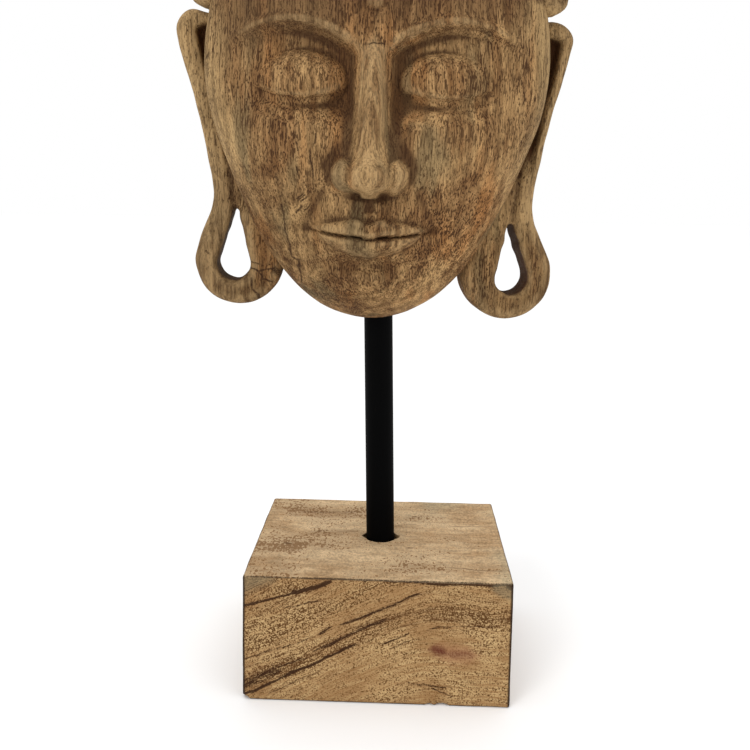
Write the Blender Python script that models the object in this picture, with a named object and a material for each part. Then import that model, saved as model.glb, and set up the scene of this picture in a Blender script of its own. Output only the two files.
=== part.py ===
"""Carved wooden mask with long pierced ears, held up by a black rod in a wooden block.

Metres, +Z up. The origin is the middle of the block's underside. The face looks along -Y.
"""

import math

import bmesh
import bpy
import numpy as np
from mathutils import Euler, Matrix, Vector

# Block
BLOCK_WIDTH = 0.140
BLOCK_DEPTH = 0.110
BLOCK_HEIGHT = 0.068
BLOCK_EDGE = 0.0012

# Rod
ROD_RADIUS = 0.008
ROD_LEAN = math.radians(-1.4)
ROD_SHOWN = 0.130
ROD_IN_BLOCK = 0.045
ROD_IN_MASK = 0.055
ROD_EDGE = 0.0008

# Fits: the hole in the block is drilled wide, the one in the chin is close
BLOCK_HOLE_CLEARANCE = 0.0013
CHIN_HOLE_CLEARANCE = 0.0004
END_GAP = 0.0003

# How far a shape runs on past the plane that cuts it off
OVERCUT = 0.004

# Head, from the chin's lowest point, tipped over to +X, with the carving in thirds of the face
HEAD_HEIGHT = 0.243
HEAD_WIDTH = 0.182
HEAD_OFFSET = -0.0046
HEAD_TIP = math.radians(0.75)
FACE_THIRD = HEAD_HEIGHT / 3.5
WIDEST_AT = 0.555 * HEAD_HEIGHT
JAW_TAPER = 0.065
DOME_DEPTH = 0.043
DOME_POWER = 2.3

# Depths along Y, measured from the rod's axis
RIM_FORWARD = 0.012
EAR_FORWARD = 0.009
BACK_BEHIND = 0.027

# Hollow in the back: the wood left beside it, and its height and middle as shares of the head's
HOLLOW_WALL = 0.024
HOLLOW_HEIGHT = 0.642 * HEAD_HEIGHT
HOLLOW_DEPTH = 0.060
HOLLOW_AT = 0.621 * HEAD_HEIGHT

# Ears: heights above the chin's lowest point, distances out from the face's middle line
EAR_THICKNESS = 0.024
EAR_TOP_RADIUS = 0.0110
EAR_TOP_OUT = HEAD_WIDTH / 2.0 + 0.0050
EAR_TOP_AT = 0.6230 * HEAD_HEIGHT
EAR_NECK_OUT = HEAD_WIDTH / 2.0 - 0.0037
EAR_NECK_AT = 0.2572 * HEAD_HEIGHT
EAR_INNER = HEAD_WIDTH / 2.0 - 0.0450
EAR_EDGE = 0.0040

# The strap between an ear's top and neck: how hollow its edge runs, and the swelling of its upper part
STRAP_SWEEP = 1.3
STRAP_BOW = 0.038
STRAP_BOW_FROM = 0.6

# Ear lobes, each with a drop-shaped hole
LOBE_RADIUS = 0.0246
LOBE_SHOULDER = 0.0062
LOBE_OUT = HEAD_WIDTH / 2.0 - 0.0173
LOBE_AT = 0.1099 * HEAD_HEIGHT
LOBE_HOLE_RADIUS = 0.0092
LOBE_HOLE_OUT = LOBE_OUT + 0.0029
LOBE_HOLE_AT = LOBE_AT - 0.0018
LOBE_HOLE_HEIGHT = 0.0390
LOBE_HOLE_LEAN = 0.0012
LOBE_TIP_RADIUS = 0.0018

# Channel sunk in the ear beside the face: the ridge left outside it, its depth and its end
CHANNEL_RIDGE = 0.0092
CHANNEL_RIDGE_LOW = 0.0070
CHANNEL_DEPTH = 0.0070
CHANNEL_BOTTOM_AT = 0.2963 * HEAD_HEIGHT

# Hand carving: both ears lean to -X at their tops and run back towards -X, and the one on +X sits
# lower with a narrower ridge, by as much as the other sits higher with a wider one
EAR_LEAN = math.radians(-1.35)
EAR_SLANT = -0.10
EAR_LOWER = 0.0014
RIDGE_NARROWER = 0.0026

# Hair: the hairline and the rows of curls behind it
HAIR_RISE = 0.0030
HAIRLINE_AT = 3.0 * FACE_THIRD
HAIRLINE_CURVE = 2.4
CURL_RADIUS = 0.0110
CURL_HEIGHT = 0.0110
CURL_LIFT = 0.0030
CURL_PITCH = 0.0226
CURL_ROWS = 5
CURL_ROW_PITCH = 0.0203
CURL_FIRST_ROW = 0.0092
CURL_TURN_BACK = 1.6
CURL_ABOVE_EAR = 0.0076

# Topknot and its rings of curls, as (degrees up from its middle, number of curls)
TOPKNOT_RADIUS = 0.036
TOPKNOT_DEPTH = 0.028
TOPKNOT_RISE = 0.027
TOPKNOT_RINGS = ((28.0, 7), (62.0, 3))

# Fineness of the carved surface, with its rows and columns closest round the features
FACE_COLUMNS = 36
FACE_ROWS = 50
FEATURES_AT = -0.25
FEATURES_SPREAD = 0.50
FEATURES_GAIN = 1.6

# Fineness of the round shapes and of the measured lines that the curls are set along
ROD_SIDES = 32
CURL_SIDES = 8
TOPKNOT_SIDES = 14
HOLLOW_SIDES = 24
LINE_STEPS = 240
WALL_STEPS = 40
ROW_STEPS = 60
SHARP_ANGLE = math.radians(35.0)
BEVEL_ANGLE = math.radians(50.0)

# Finishes
MASK_COLOUR = (0.27, 0.165, 0.085, 1.0)
BLOCK_COLOUR = (0.52, 0.36, 0.19, 1.0)
ROD_COLOUR = (0.012, 0.012, 0.013, 1.0)
WOOD_ROUGHNESS = 0.75
ROD_ROUGHNESS = 0.45
ROD_METALLIC = 0.3

RIM_Y = -RIM_FORWARD
EAR_Y = -EAR_FORWARD
BACK_Y = BACK_BEHIND
CHIN_AT = BLOCK_HEIGHT + ROD_SHOWN
ROD_TOP_OUT = ROD_SHOWN * math.tan(ROD_LEAN)
HEAD_PLACE = Matrix.Translation((ROD_TOP_OUT + HEAD_OFFSET, 0.0, CHIN_AT)) @ Matrix.Rotation(HEAD_TIP, 4, "Y")
TOPKNOT_CENTRE = Vector((0.0, BACK_Y / 2.0, HEAD_HEIGHT))
TOPKNOT_HALF = Vector((TOPKNOT_RADIUS, TOPKNOT_DEPTH, TOPKNOT_RISE))


def step(low, high, value):
    """Smooth rise from 0 at low to 1 at high."""
    share = np.clip((value - low) / (high - low), 0.0, 1.0)
    return share * share * (3.0 - 2.0 * share)


def bell(value, width):
    """Round hump of height 1 that has fallen to 1/e at the given width."""
    return np.exp(-((value / width) ** 2))


def blend_max(first, second, softness):
    """The larger of two heights, rounded where they cross."""
    share = np.clip(0.5 + 0.5 * (first - second) / softness, 0.0, 1.0)
    return second + (first - second) * share + softness * share * (1.0 - share)


def head_outline(angle):
    """Distance from the head's widest line to its outline: two half ellipses, the lower tapered."""
    rise = np.sin(angle)
    reach = np.where(rise > 0.0, HEAD_HEIGHT - WIDEST_AT, WIDEST_AT)
    distance = 1.0 / np.hypot(np.cos(angle) * 2.0 / HEAD_WIDTH, rise / reach)
    return distance * (1.0 - np.where(rise > 0.0, 0.0, JAW_TAPER * np.sin(2.0 * angle) ** 2))


def hairline(across):
    """Height of the hairline above the chin, falling in an arc to the tops of the ears."""
    fall = HAIRLINE_AT - EAR_TOP_AT - EAR_TOP_RADIUS
    return HAIRLINE_AT - fall * np.minimum(np.abs(across) * 2.0 / HEAD_WIDTH, 1.0) ** HAIRLINE_CURVE


def broad_relief(side, z):
    """Cheeks, forehead, muzzle, chin and temples as round humps and dips.

    This and the next three functions work in thirds of the face: side is the distance from its
    middle line, z the height above the chin, and each returns how far the wood stands out.
    """
    height = 0.062 * bell(side - 0.70, 0.38) * bell(z - 1.22, 0.40)
    height += 0.030 * bell(side, 0.70) * bell(z - 2.45, 0.40)
    height += 0.075 * bell(side, 0.44) * bell(z - 0.72, 0.30)
    height += 0.090 * bell(side, 0.27) * bell(z - 0.27, 0.20)
    height -= 0.050 * bell(side, 0.26) * bell(z - 0.455, 0.055)
    height -= 0.030 * bell(side - 1.12, 0.16) * bell(z - 2.02, 0.30)
    return height


def eye_relief(height, side, z):
    """Arched brow, its socket, and an eyeball under a closed lid with a sagging lash line."""
    brow = 1.82 + 0.34 * np.sin(np.pi * np.clip((side + 0.10) / 1.42, 0.0, 1.0)) ** 0.9
    below = brow - z
    reach = step(0.05, 0.20, side) * (1.0 - step(0.82, 1.14, side))
    depth = 0.115 - 0.065 * step(0.30, 1.00, side)
    height = height - reach * depth * step(-0.012, 0.09, below) * (1.0 - step(0.40, 0.72, below))
    height += 0.018 * bell(below + 0.022, 0.035) * step(0.05, 0.20, side) * (1.0 - step(0.90, 1.15, side))
    across = side - 0.530
    up = z - 1.740
    ball = 1.0 - (across / 0.360) ** 2 - (up / np.where(up > 0.0, 0.240, 0.205)) ** 2
    lid = np.where(ball > 0.0, 0.150 * np.sqrt(np.clip(ball, 0.0, 1.0)) - 0.112, -0.3)
    height = blend_max(height, 0.25 * height + lid, 0.016)
    lash = 1.628 + 0.065 * (across / 0.30) ** 2 + 0.04 * across
    under = lash - z
    inside = 1.0 - step(0.27, 0.34, np.abs(across))
    height -= inside * 0.020 * step(0.0, 0.016, under) * (1.0 - step(0.06, 0.14, under))
    height -= inside * 0.024 * bell(under, 0.011)
    height -= 0.014 * (1.0 - step(0.24, 0.38, np.abs(across))) * bell(under - 0.140, 0.032)
    return height


def nose_relief(side, z):
    """Straight ridge that widens downwards, a round tip and two wings with nostrils, cut in below."""
    up = z - 1.0
    ridge = 0.300 - 0.205 * np.clip(up, 0.0, 1.0) ** 0.80
    half = 0.098 + 0.016 * np.cos(np.pi * np.clip(up, 0.0, 1.0)) + 0.050 * bell(z - 1.08, 0.16)
    foot = step(0.93, 1.05, z + 0.06 * side) * (1.0 - step(1.78, 2.24, z))
    nose = ridge * foot / (1.0 + (side / half) ** 3.0)
    tip = 1.0 - (side / 0.165) ** 2 - ((z - 1.095) / 0.160) ** 2
    wing = 1.0 - ((side - 0.170) / 0.112) ** 2 - ((z - 1.100) / 0.125) ** 2
    nose = blend_max(nose, 0.318 * np.clip(tip, 0.0, 1.0) ** 0.42, 0.040)
    nose = blend_max(nose, 0.190 * np.clip(wing, 0.0, 1.0) ** 0.45, 0.040)
    nostril = bell(side - 0.088, 0.045) * bell(z - 0.962, 0.034)
    return nose * (1.0 - 0.75 * nostril) - 0.020 * nostril


def mouth_relief(side, z):
    """Two full lips on a line that rises at its ends, with the groove between and the fold beside."""
    line = 0.667 + 0.042 * (side / 0.42) ** 2.2 - 0.012 * bell(side, 0.07)
    span = np.clip(1.0 - (side / 0.43) ** 2, 0.0, 1.0)
    low_span = np.clip(1.0 - (side / 0.38) ** 2, 0.0, 1.0)
    top = line + 0.125 * span ** 0.75 + 0.018 * bell(side - 0.090, 0.05) - 0.012 * bell(side, 0.04)
    bottom = line - 0.158 * low_span ** 0.7
    up = np.clip((z - line) / np.maximum(top - line, 1e-4), 0.0, 1.0)
    down = np.clip((line - z) / np.maximum(line - bottom, 1e-4), 0.0, 1.0)
    bulge = np.sqrt(np.clip(1.0 - np.clip(2.0 * down - 0.9, -1.0, 1.0) ** 2, 0.0, 1.0))
    upper = (0.058 * (1.0 - up) ** 0.8 + 0.022) * span ** 0.4 * (1.0 - step(0.86, 1.0, up))
    height = np.where((z >= line) & (z < top), upper, 0.0)
    height += np.where((z < line) & (z > bottom), 0.078 * bulge * low_span ** 0.35, 0.0)
    height -= 0.034 * bell(z - line, 0.012) * (1.0 - step(0.38, 0.46, side))
    height -= 0.030 * bell(side - 0.45, 0.042) * bell(z - 0.712, 0.042)
    height -= 0.022 * bell(side, 0.044) * step(0.80, 0.86, z) * (1.0 - step(0.92, 0.99, z))
    fold = 0.30 + 0.25 * np.clip((1.08 - z) / 0.45, 0.0, 1.2) ** 1.2
    height -= 0.020 * bell(side - fold, 0.055) * step(0.60, 0.78, z) * (1.0 - step(0.98, 1.12, z))
    return height


def face_relief(across, up):
    """How far the carving stands out of the plain dome, for points measured from the chin."""
    side = np.abs(across) / FACE_THIRD
    z = up / FACE_THIRD
    height = eye_relief(broad_relief(side, z), side, z)
    height += nose_relief(side, z) + mouth_relief(side, z)
    mark = np.hypot(side, z - 2.29)
    height += 0.016 * np.sqrt(np.clip(1.0 - (mark / 0.068) ** 2, 0.0, 1.0)) - 0.012 * bell(mark - 0.074, 0.010)
    hair = HAIR_RISE / FACE_THIRD * step(-0.0010, 0.0015, up - hairline(across))
    return FACE_THIRD * (height + hair)


def dome(angle, share):
    """Point of the front: share runs from 0 at the middle to 1 at the rim, angle round the head."""
    turn = share * math.pi / 2.0
    out = np.sin(turn) ** (2.0 / DOME_POWER)
    deep = np.clip(np.cos(turn), 0.0, 1.0) ** (2.0 / DOME_POWER)
    across = head_outline(angle) * out * np.cos(angle)
    up = WIDEST_AT + head_outline(angle) * out * np.sin(angle)
    forward = DOME_DEPTH * deep + face_relief(across, up) * step(0.15, 0.55, deep)
    return np.stack([across, RIM_Y - forward, up], axis=-1)


def drawn_together(count, focus, spread, gain):
    """Values from -1 to 1, closer together round the focus."""
    even = np.linspace(-1.0, 1.0, 2001)
    density = 1.0 + gain * bell(even - focus, spread)
    total = np.concatenate([[0.0], np.cumsum((density[1:] + density[:-1]) / 2.0)])
    return np.interp(np.linspace(0.0, total[-1], count), total, even)


def make_material(name, colour, roughness, metallic=0.0):
    """Plain finish with one colour."""
    finish = bpy.data.materials.new(name)
    finish.use_nodes = True
    shader = finish.node_tree.nodes["Principled BSDF"]
    shader.inputs["Base Color"].default_value = colour
    shader.inputs["Roughness"].default_value = roughness
    shader.inputs["Metallic"].default_value = metallic
    finish.diffuse_color = colour
    return finish


def add_object(name, mesh, finish=None):
    """Object in the scene, shaded smooth except at its edges."""
    mesh.shade_smooth()
    mesh.set_sharp_from_angle(angle=SHARP_ANGLE)
    piece = bpy.data.objects.new(name, mesh)
    bpy.context.scene.collection.objects.link(piece)
    if finish:
        mesh.materials.append(finish)
    return piece


def add_cutter(name, mesh):
    """Object that only shapes another one."""
    cutter = add_object(name, mesh)
    cutter.hide_render = True
    cutter.display_type = "WIRE"
    return cutter


def mesh_from(name, work):
    """Mesh of a bmesh whose faces are made to point outwards."""
    bmesh.ops.recalc_face_normals(work, faces=work.faces)
    mesh = bpy.data.meshes.new(name)
    work.to_mesh(mesh)
    work.free()
    return mesh


def combine(target, other, operation):
    """Exact boolean of one object with another."""
    modifier = target.modifiers.new(f"{operation.title()} {other.name}", "BOOLEAN")
    modifier.solver = "EXACT"
    modifier.operation = operation
    modifier.object = other
    return modifier


def box_mesh(name, size, centre):
    work = bmesh.new()
    bmesh.ops.create_cube(work, size=1.0, matrix=Matrix.Translation(centre) @ Matrix.Diagonal((*size, 1.0)))
    return mesh_from(name, work)


def rod_mesh(name, radius, low, high):
    """Round bar along Z from low to high."""
    work = bmesh.new()
    bmesh.ops.create_cone(
        work,
        cap_ends=True,
        segments=ROD_SIDES,
        radius1=radius,
        radius2=radius,
        depth=high - low,
        matrix=Matrix.Translation((0.0, 0.0, (low + high) / 2.0)),
    )
    return mesh_from(name, work)


def ball_mesh(name, half_axes, place, sides):
    """Ball stretched to three half axes and put in its place."""
    work = bmesh.new()
    matrix = place @ Matrix.Diagonal((*half_axes, 1.0))
    bmesh.ops.create_uvsphere(work, u_segments=sides, v_segments=sides // 2, radius=1.0, matrix=matrix)
    return mesh_from(name, work)


def add_bevel(piece, width, segments):
    """Round edges of the same width all along, however the faces beside them are divided."""
    bevel = piece.modifiers.new("Edges", "BEVEL")
    bevel.width = width
    bevel.segments = segments
    bevel.limit_method = "ANGLE"
    bevel.angle_limit = BEVEL_ANGLE
    bevel.use_clamp_overlap = False
    bevel.loop_slide = False


def make_block(rod_axis):
    """Block with its top hole, drilled along the leaning rod."""
    size = (BLOCK_WIDTH, BLOCK_DEPTH, BLOCK_HEIGHT)
    mesh = box_mesh("block", size, (0.0, 0.0, BLOCK_HEIGHT / 2.0))
    block = add_object("block", mesh, make_material("block wood", BLOCK_COLOUR, WOOD_ROUGHNESS))
    add_bevel(block, BLOCK_EDGE, 2)
    radius = ROD_RADIUS + BLOCK_HOLE_CLEARANCE
    hole = add_cutter("block hole", rod_mesh("block hole", radius, -ROD_IN_BLOCK - END_GAP, OVERCUT))
    hole.parent = rod_axis
    combine(block, hole, "DIFFERENCE")


def make_rod(rod_axis):
    """Black rod, from its hole in the block into the chin."""
    mesh = rod_mesh("rod", ROD_RADIUS, -ROD_IN_BLOCK, ROD_SHOWN + ROD_IN_MASK)
    rod = add_object("rod", mesh, make_material("black coating", ROD_COLOUR, ROD_ROUGHNESS, ROD_METALLIC))
    add_bevel(rod, ROD_EDGE, 2)
    rod.parent = rod_axis


def head_mesh():
    """Front carved on a grid that is a square drawn into the head's outline, with side wall and back."""
    columns = drawn_together(FACE_COLUMNS, 0.0, FEATURES_SPREAD, FEATURES_GAIN)
    rows = drawn_together(FACE_ROWS, FEATURES_AT, FEATURES_SPREAD, FEATURES_GAIN)
    across, up = np.meshgrid(columns, rows)
    flat = np.stack([across * np.sqrt(1.0 - up ** 2 / 2.0), up * np.sqrt(1.0 - across ** 2 / 2.0)])
    share = np.minimum(np.hypot(flat[0], flat[1]), 1.0)
    front = dome(np.arctan2(flat[1], flat[0]), share)
    work = bmesh.new()
    grid = [[work.verts.new(point) for point in row] for row in front]
    for low, high in zip(grid, grid[1:]):
        for corner in range(FACE_COLUMNS - 1):
            work.faces.new((low[corner], low[corner + 1], high[corner + 1], high[corner]))
    bmesh.ops.triangulate(work, faces=work.faces, quad_method="SHORT_EDGE")
    rim = [edge for edge in work.edges if edge.is_boundary]
    wall = bmesh.ops.extrude_edge_only(work, edges=rim)["geom"]
    for vertex in (item for item in wall if isinstance(item, bmesh.types.BMVert)):
        vertex.co.y = BACK_Y + OVERCUT
    back = [edge for edge in work.edges if edge.is_boundary]
    bmesh.ops.contextual_create(work, geom=back)
    mesh = mesh_from("mask", work)
    mesh.transform(HEAD_PLACE)
    return mesh


def arc(centre, radius, first, last, count):
    """Points on an arc between two angles in degrees, with one radius or one for each point."""
    angles = np.radians(np.linspace(first, last, count))
    return list(zip(centre[0] + radius * np.cos(angles), centre[1] + radius * np.sin(angles)))


def ear_place(side):
    """Place of an ear: leant about its neck and set lower on +X, higher on -X."""
    neck = Vector((side * EAR_NECK_OUT, 0.0, EAR_NECK_AT))
    lowered = Matrix.Translation(neck - Vector((0.0, 0.0, side * EAR_LOWER)))
    return HEAD_PLACE @ lowered @ Matrix.Rotation(EAR_LEAN, 4, "Y") @ Matrix.Translation(-neck)


def flat_prism(name, outline, holes, near, far, side):
    """Outline in (out from the middle line, up) with holes, filled and carried back from near to far."""
    work = bmesh.new()
    edges = []
    for loop in [outline, *holes]:
        corners = [work.verts.new((side * out, near, up)) for out, up in loop]
        edges += [work.edges.new((a, b)) for a, b in zip(corners, corners[1:] + corners[:1])]
    bmesh.ops.triangle_fill(work, use_beauty=True, edges=edges)
    extruded = bmesh.ops.extrude_face_region(work, geom=list(work.faces))["geom"]
    moved = [item for item in extruded if isinstance(item, bmesh.types.BMVert)]
    bmesh.ops.translate(work, verts=moved, vec=(EAR_SLANT * (far - near), far - near, 0.0))
    mesh = mesh_from(name, work)
    mesh.transform(ear_place(side))
    return mesh


def strap_edge(up):
    """How far out the ear's strap reaches at a height between the neck and the top."""
    share = (up - EAR_NECK_AT) / (EAR_TOP_AT - EAR_NECK_AT)
    bow = STRAP_BOW * np.sin(math.pi * np.clip((share - STRAP_BOW_FROM) / (1.0 - STRAP_BOW_FROM), 0.0, 1.0))
    return EAR_NECK_OUT + (EAR_TOP_OUT + EAR_TOP_RADIUS - EAR_NECK_OUT) * (share ** STRAP_SWEEP + bow)


def ear_outline():
    """Round top, strap narrowing to a neck, and a round lobe whose inner limb goes behind the jaw."""
    points = [(EAR_INNER, EAR_TOP_AT)]
    points += arc((EAR_TOP_OUT, EAR_TOP_AT), EAR_TOP_RADIUS, 120.0, 0.0, 6)
    strap = np.linspace(EAR_TOP_AT, EAR_NECK_AT, 8)[1:]
    points += list(zip(strap_edge(strap), strap))
    shoulder = LOBE_RADIUS + LOBE_SHOULDER * np.linspace(1.0, 0.2, 5) ** 2
    points += arc((LOBE_OUT, LOBE_AT), shoulder, 60.0, 28.0, 5)
    points += arc((LOBE_OUT, LOBE_AT), LOBE_RADIUS, 13.0, -205.0, 14)
    points += [(EAR_INNER, EAR_NECK_AT)]
    return points


def lobe_hole():
    """Drop shape: a wide round bottom and a narrow round tip, joined by straight sides."""
    top = (LOBE_HOLE_OUT - LOBE_HOLE_LEAN, LOBE_HOLE_AT - LOBE_HOLE_RADIUS + LOBE_HOLE_HEIGHT - LOBE_TIP_RADIUS)
    lean = math.degrees(math.asin((LOBE_HOLE_RADIUS - LOBE_TIP_RADIUS) / (top[1] - LOBE_HOLE_AT)))
    tip = arc(top, LOBE_TIP_RADIUS, 180.0 - lean, lean, 4)
    return tip + arc((LOBE_HOLE_OUT, LOBE_HOLE_AT), LOBE_HOLE_RADIUS, lean, -180.0 - lean, 11)


def make_ear(name, side):
    """One ear: a flat slab with round edges and a sunken channel beside the face."""
    mesh = flat_prism(name, ear_outline(), [lobe_hole()], EAR_Y, EAR_Y + EAR_THICKNESS, side)
    ear = add_cutter(name, mesh)
    add_bevel(ear, EAR_EDGE, 2)
    heights = np.linspace(EAR_TOP_AT, CHANNEL_BOTTOM_AT, 7)
    ridge = np.linspace(CHANNEL_RIDGE, CHANNEL_RIDGE_LOW, 7) - side * RIDGE_NARROWER
    channel = list(zip(strap_edge(heights) - ridge, heights))
    channel += [(EAR_INNER, CHANNEL_BOTTOM_AT), (EAR_INNER, EAR_TOP_AT + EAR_TOP_RADIUS / 2.0)]
    channel += [(EAR_TOP_OUT - EAR_TOP_RADIUS / 2.0, EAR_TOP_AT + EAR_TOP_RADIUS / 4.0)]
    cut = flat_prism(f"{name} channel", channel, [], EAR_Y - EAR_EDGE, EAR_Y + CHANNEL_DEPTH, side)
    combine(ear, add_cutter(f"{name} channel", cut), "DIFFERENCE")
    return ear


def hair_line_point(angle, distance):
    """Point at a distance over the head from the hairline towards the back, and how far it may go."""
    shares = np.linspace(0.0, 1.0, LINE_STEPS)
    front = dome(np.full_like(shares, angle), shares)
    hair = front[:, 2] >= hairline(front[:, 0])
    hair[-1] = True
    front = front[hair]
    wall = np.repeat(front[-1:], WALL_STEPS, axis=0)
    wall[:, 1] = np.linspace(RIM_Y, BACK_Y, WALL_STEPS)
    path = np.concatenate([front, wall[1:]])
    lengths = np.concatenate([[0.0], np.cumsum(np.linalg.norm(np.diff(path, axis=0), axis=1))])
    point = Vector([float(np.interp(distance, lengths, path[:, axis])) for axis in range(3)])
    return point, lengths[-1]


def curl_places():
    """Rows of curls beside the hairline, each row half a curl out of step with the last."""
    places = []
    centre = Vector((0.0, BACK_Y, WIDEST_AT))
    lowest = math.atan2(EAR_TOP_AT + EAR_TOP_RADIUS + CURL_ABOVE_EAR - WIDEST_AT, HEAD_WIDTH / 2.0)
    for row in range(CURL_ROWS):
        distance = CURL_FIRST_ROW + row * CURL_ROW_PITCH
        fine = np.linspace(lowest, math.pi / 2.0, ROW_STEPS)
        line = [hair_line_point(angle, distance)[0] for angle in fine]
        lengths = np.concatenate([[0.0], np.cumsum([(b - a).length for a, b in zip(line, line[1:])])])
        start = 0.5 * CURL_PITCH if row % 2 else 0.0
        for back in np.arange(start, lengths[-1], CURL_PITCH):
            angle = float(np.interp(lengths[-1] - back, lengths, fine))
            point, reach = hair_line_point(angle, distance)
            if distance > reach - CURL_RADIUS / 4.0:
                continue
            normal = point - centre
            normal.y *= CURL_TURN_BACK
            normal.normalize()
            point += CURL_LIFT * normal
            for side in [1.0] if abs(point.x) < CURL_PITCH / 4.0 else [1.0, -1.0]:
                places.append((Vector((side * point.x, point.y, point.z)), Vector((side * normal.x, *normal[1:]))))
    return places


def topknot_places():
    """Rings of curls round the topknot and one on its top."""
    places = []
    for level, count in ((math.radians(degrees), count) for degrees, count in TOPKNOT_RINGS):
        for place in range(count):
            bearing = math.pi * (1.0 + (place + 0.5) / count)
            flat = math.cos(level)
            direction = Vector((flat * math.cos(bearing), flat * math.sin(bearing), math.sin(level)))
            places.append((TOPKNOT_CENTRE + TOPKNOT_HALF * direction, direction))
    top = Vector((0.0, 0.0, 1.0))
    places.append((TOPKNOT_CENTRE + TOPKNOT_HALF * top, top))
    return places


def make_hair():
    """Topknot and curls, each a flattened ball set into the hair."""
    curls = bpy.data.collections.new("hair")
    bpy.context.scene.collection.children.link(curls)
    place = HEAD_PLACE @ Matrix.Translation(TOPKNOT_CENTRE)
    pieces = [add_cutter("topknot", ball_mesh("topknot", TOPKNOT_HALF, place, TOPKNOT_SIDES))]
    half = (CURL_RADIUS, CURL_RADIUS, CURL_HEIGHT)
    for number, (point, normal) in enumerate(curl_places() + topknot_places()):
        turn = normal.to_track_quat("Z", "Y").to_matrix().to_4x4()
        place = HEAD_PLACE @ Matrix.Translation(point) @ turn
        pieces.append(add_cutter(f"curl {number}", ball_mesh("curl", half, place, CURL_SIDES)))
    for piece in pieces:
        bpy.context.scene.collection.objects.unlink(piece)
        curls.objects.link(piece)
    return curls


def make_hollow():
    """Bowl cut from the back, with the chin left solid for the rod."""
    place = HEAD_PLACE @ Matrix.Translation((0.0, BACK_Y + OVERCUT, HOLLOW_AT))
    half = (HEAD_WIDTH / 2.0 - HOLLOW_WALL, HOLLOW_DEPTH + OVERCUT, HOLLOW_HEIGHT / 2.0)
    return add_cutter("hollow", ball_mesh("hollow", half, place, HOLLOW_SIDES))


def make_mask(rod_axis):
    """Head, ears and hair joined into one solid, hollowed and drilled for the rod."""
    mask = add_object("mask", head_mesh(), make_material("mask wood", MASK_COLOUR, WOOD_ROUGHNESS))
    for name, side in (("left ear", 1.0), ("right ear", -1.0)):
        combine(mask, make_ear(name, side), "UNION")
    hair = mask.modifiers.new("Hair", "BOOLEAN")
    hair.solver = "EXACT"
    hair.operation = "UNION"
    hair.operand_type = "COLLECTION"
    hair.collection = make_hair()
    behind = (2.0 * HEAD_WIDTH, HEAD_WIDTH, 2.0 * HEAD_HEIGHT)
    middle = HEAD_PLACE @ Vector((0.0, BACK_Y + HEAD_WIDTH / 2.0, HEAD_HEIGHT / 2.0))
    combine(mask, add_cutter("flat back", box_mesh("flat back", behind, middle)), "DIFFERENCE")
    combine(mask, make_hollow(), "DIFFERENCE")
    radius = ROD_RADIUS + CHIN_HOLE_CLEARANCE
    top = ROD_SHOWN + ROD_IN_MASK + END_GAP
    hole = add_cutter("chin hole", rod_mesh("chin hole", radius, ROD_SHOWN - OVERCUT, top))
    hole.parent = rod_axis
    combine(mask, hole, "DIFFERENCE")


def main():
    for piece in list(bpy.data.objects):
        bpy.data.objects.remove(piece)
    rod_axis = bpy.data.objects.new("rod axis", None)
    bpy.context.scene.collection.objects.link(rod_axis)
    rod_axis.location = (0.0, 0.0, BLOCK_HEIGHT)
    rod_axis.rotation_euler = Euler((0.0, ROD_LEAN, 0.0))
    make_block(rod_axis)
    make_rod(rod_axis)
    make_mask(rod_axis)


main()
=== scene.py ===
import math

import bmesh
import bpy
import numpy as np
from mathutils import Matrix, Vector
from mathutils.geometry import delaunay_2d_cdt


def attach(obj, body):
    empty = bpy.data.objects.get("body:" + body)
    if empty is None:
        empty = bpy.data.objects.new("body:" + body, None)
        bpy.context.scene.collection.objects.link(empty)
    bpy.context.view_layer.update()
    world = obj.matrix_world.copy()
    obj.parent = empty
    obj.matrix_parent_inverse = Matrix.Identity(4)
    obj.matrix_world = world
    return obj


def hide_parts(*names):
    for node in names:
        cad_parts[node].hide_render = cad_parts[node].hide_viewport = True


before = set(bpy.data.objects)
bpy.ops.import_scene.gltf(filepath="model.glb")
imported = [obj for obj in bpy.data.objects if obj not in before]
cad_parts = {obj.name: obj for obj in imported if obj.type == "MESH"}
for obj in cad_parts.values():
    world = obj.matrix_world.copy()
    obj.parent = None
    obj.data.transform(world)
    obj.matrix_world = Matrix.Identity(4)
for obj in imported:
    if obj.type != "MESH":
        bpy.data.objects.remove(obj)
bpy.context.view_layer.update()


def in_metres(table):
    """A table whose whole numbers, which are tenths of a millimetre, are turned into metres."""
    if isinstance(table, tuple):
        return tuple(in_metres(part) for part in table)
    return table / 10000.0 if isinstance(table, int) else table


# Sizes of the solids, in metres
BLOCK_WIDTH = 0.140
BLOCK_DEPTH = 0.110
BLOCK_HEIGHT = 0.068
ROD_RADIUS = 0.008
ROD_LEAN = math.radians(-1.4)
ROD_SHOWN = 0.130
ROD_IN_BLOCK = 0.045
ROD_IN_MASK = 0.055
CHIN_HOLE_RADIUS = 0.0086
BLOCK_HOLE_RADIUS = 0.0092
END_GAP = 0.0003
HEAD_HEIGHT = 0.243
HEAD_WIDTH = 0.182
HEAD_OFFSET = -0.0046
HEAD_TIP = math.radians(0.75)
FACE_THIRD = HEAD_HEIGHT / 3.5
WIDEST_AT = 0.555 * HEAD_HEIGHT
JAW_TAPER = 0.065
DOME_DEPTH = 0.043
DOME_POWER = 2.3
HAIR_RISE = 0.0030
RIM_Y = -0.012
EAR_Y = -0.009
BACK_Y = 0.027
HOLLOW_WIDTH = 0.134
HOLLOW_HEIGHT = 0.156
HOLLOW_DEPTH = 0.060
HOLLOW_AT = 0.151
EAR_THICKNESS = 0.024
EAR_TOP_RADIUS = 0.0110
EAR_TOP_OUT = 0.0960
EAR_TOP_AT = 0.1514
EAR_NECK_OUT = 0.0873
EAR_NECK_AT = 0.0625
EAR_INNER = 0.046
STRAP_SWEEP = 1.3
STRAP_BOW = 0.038
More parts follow.
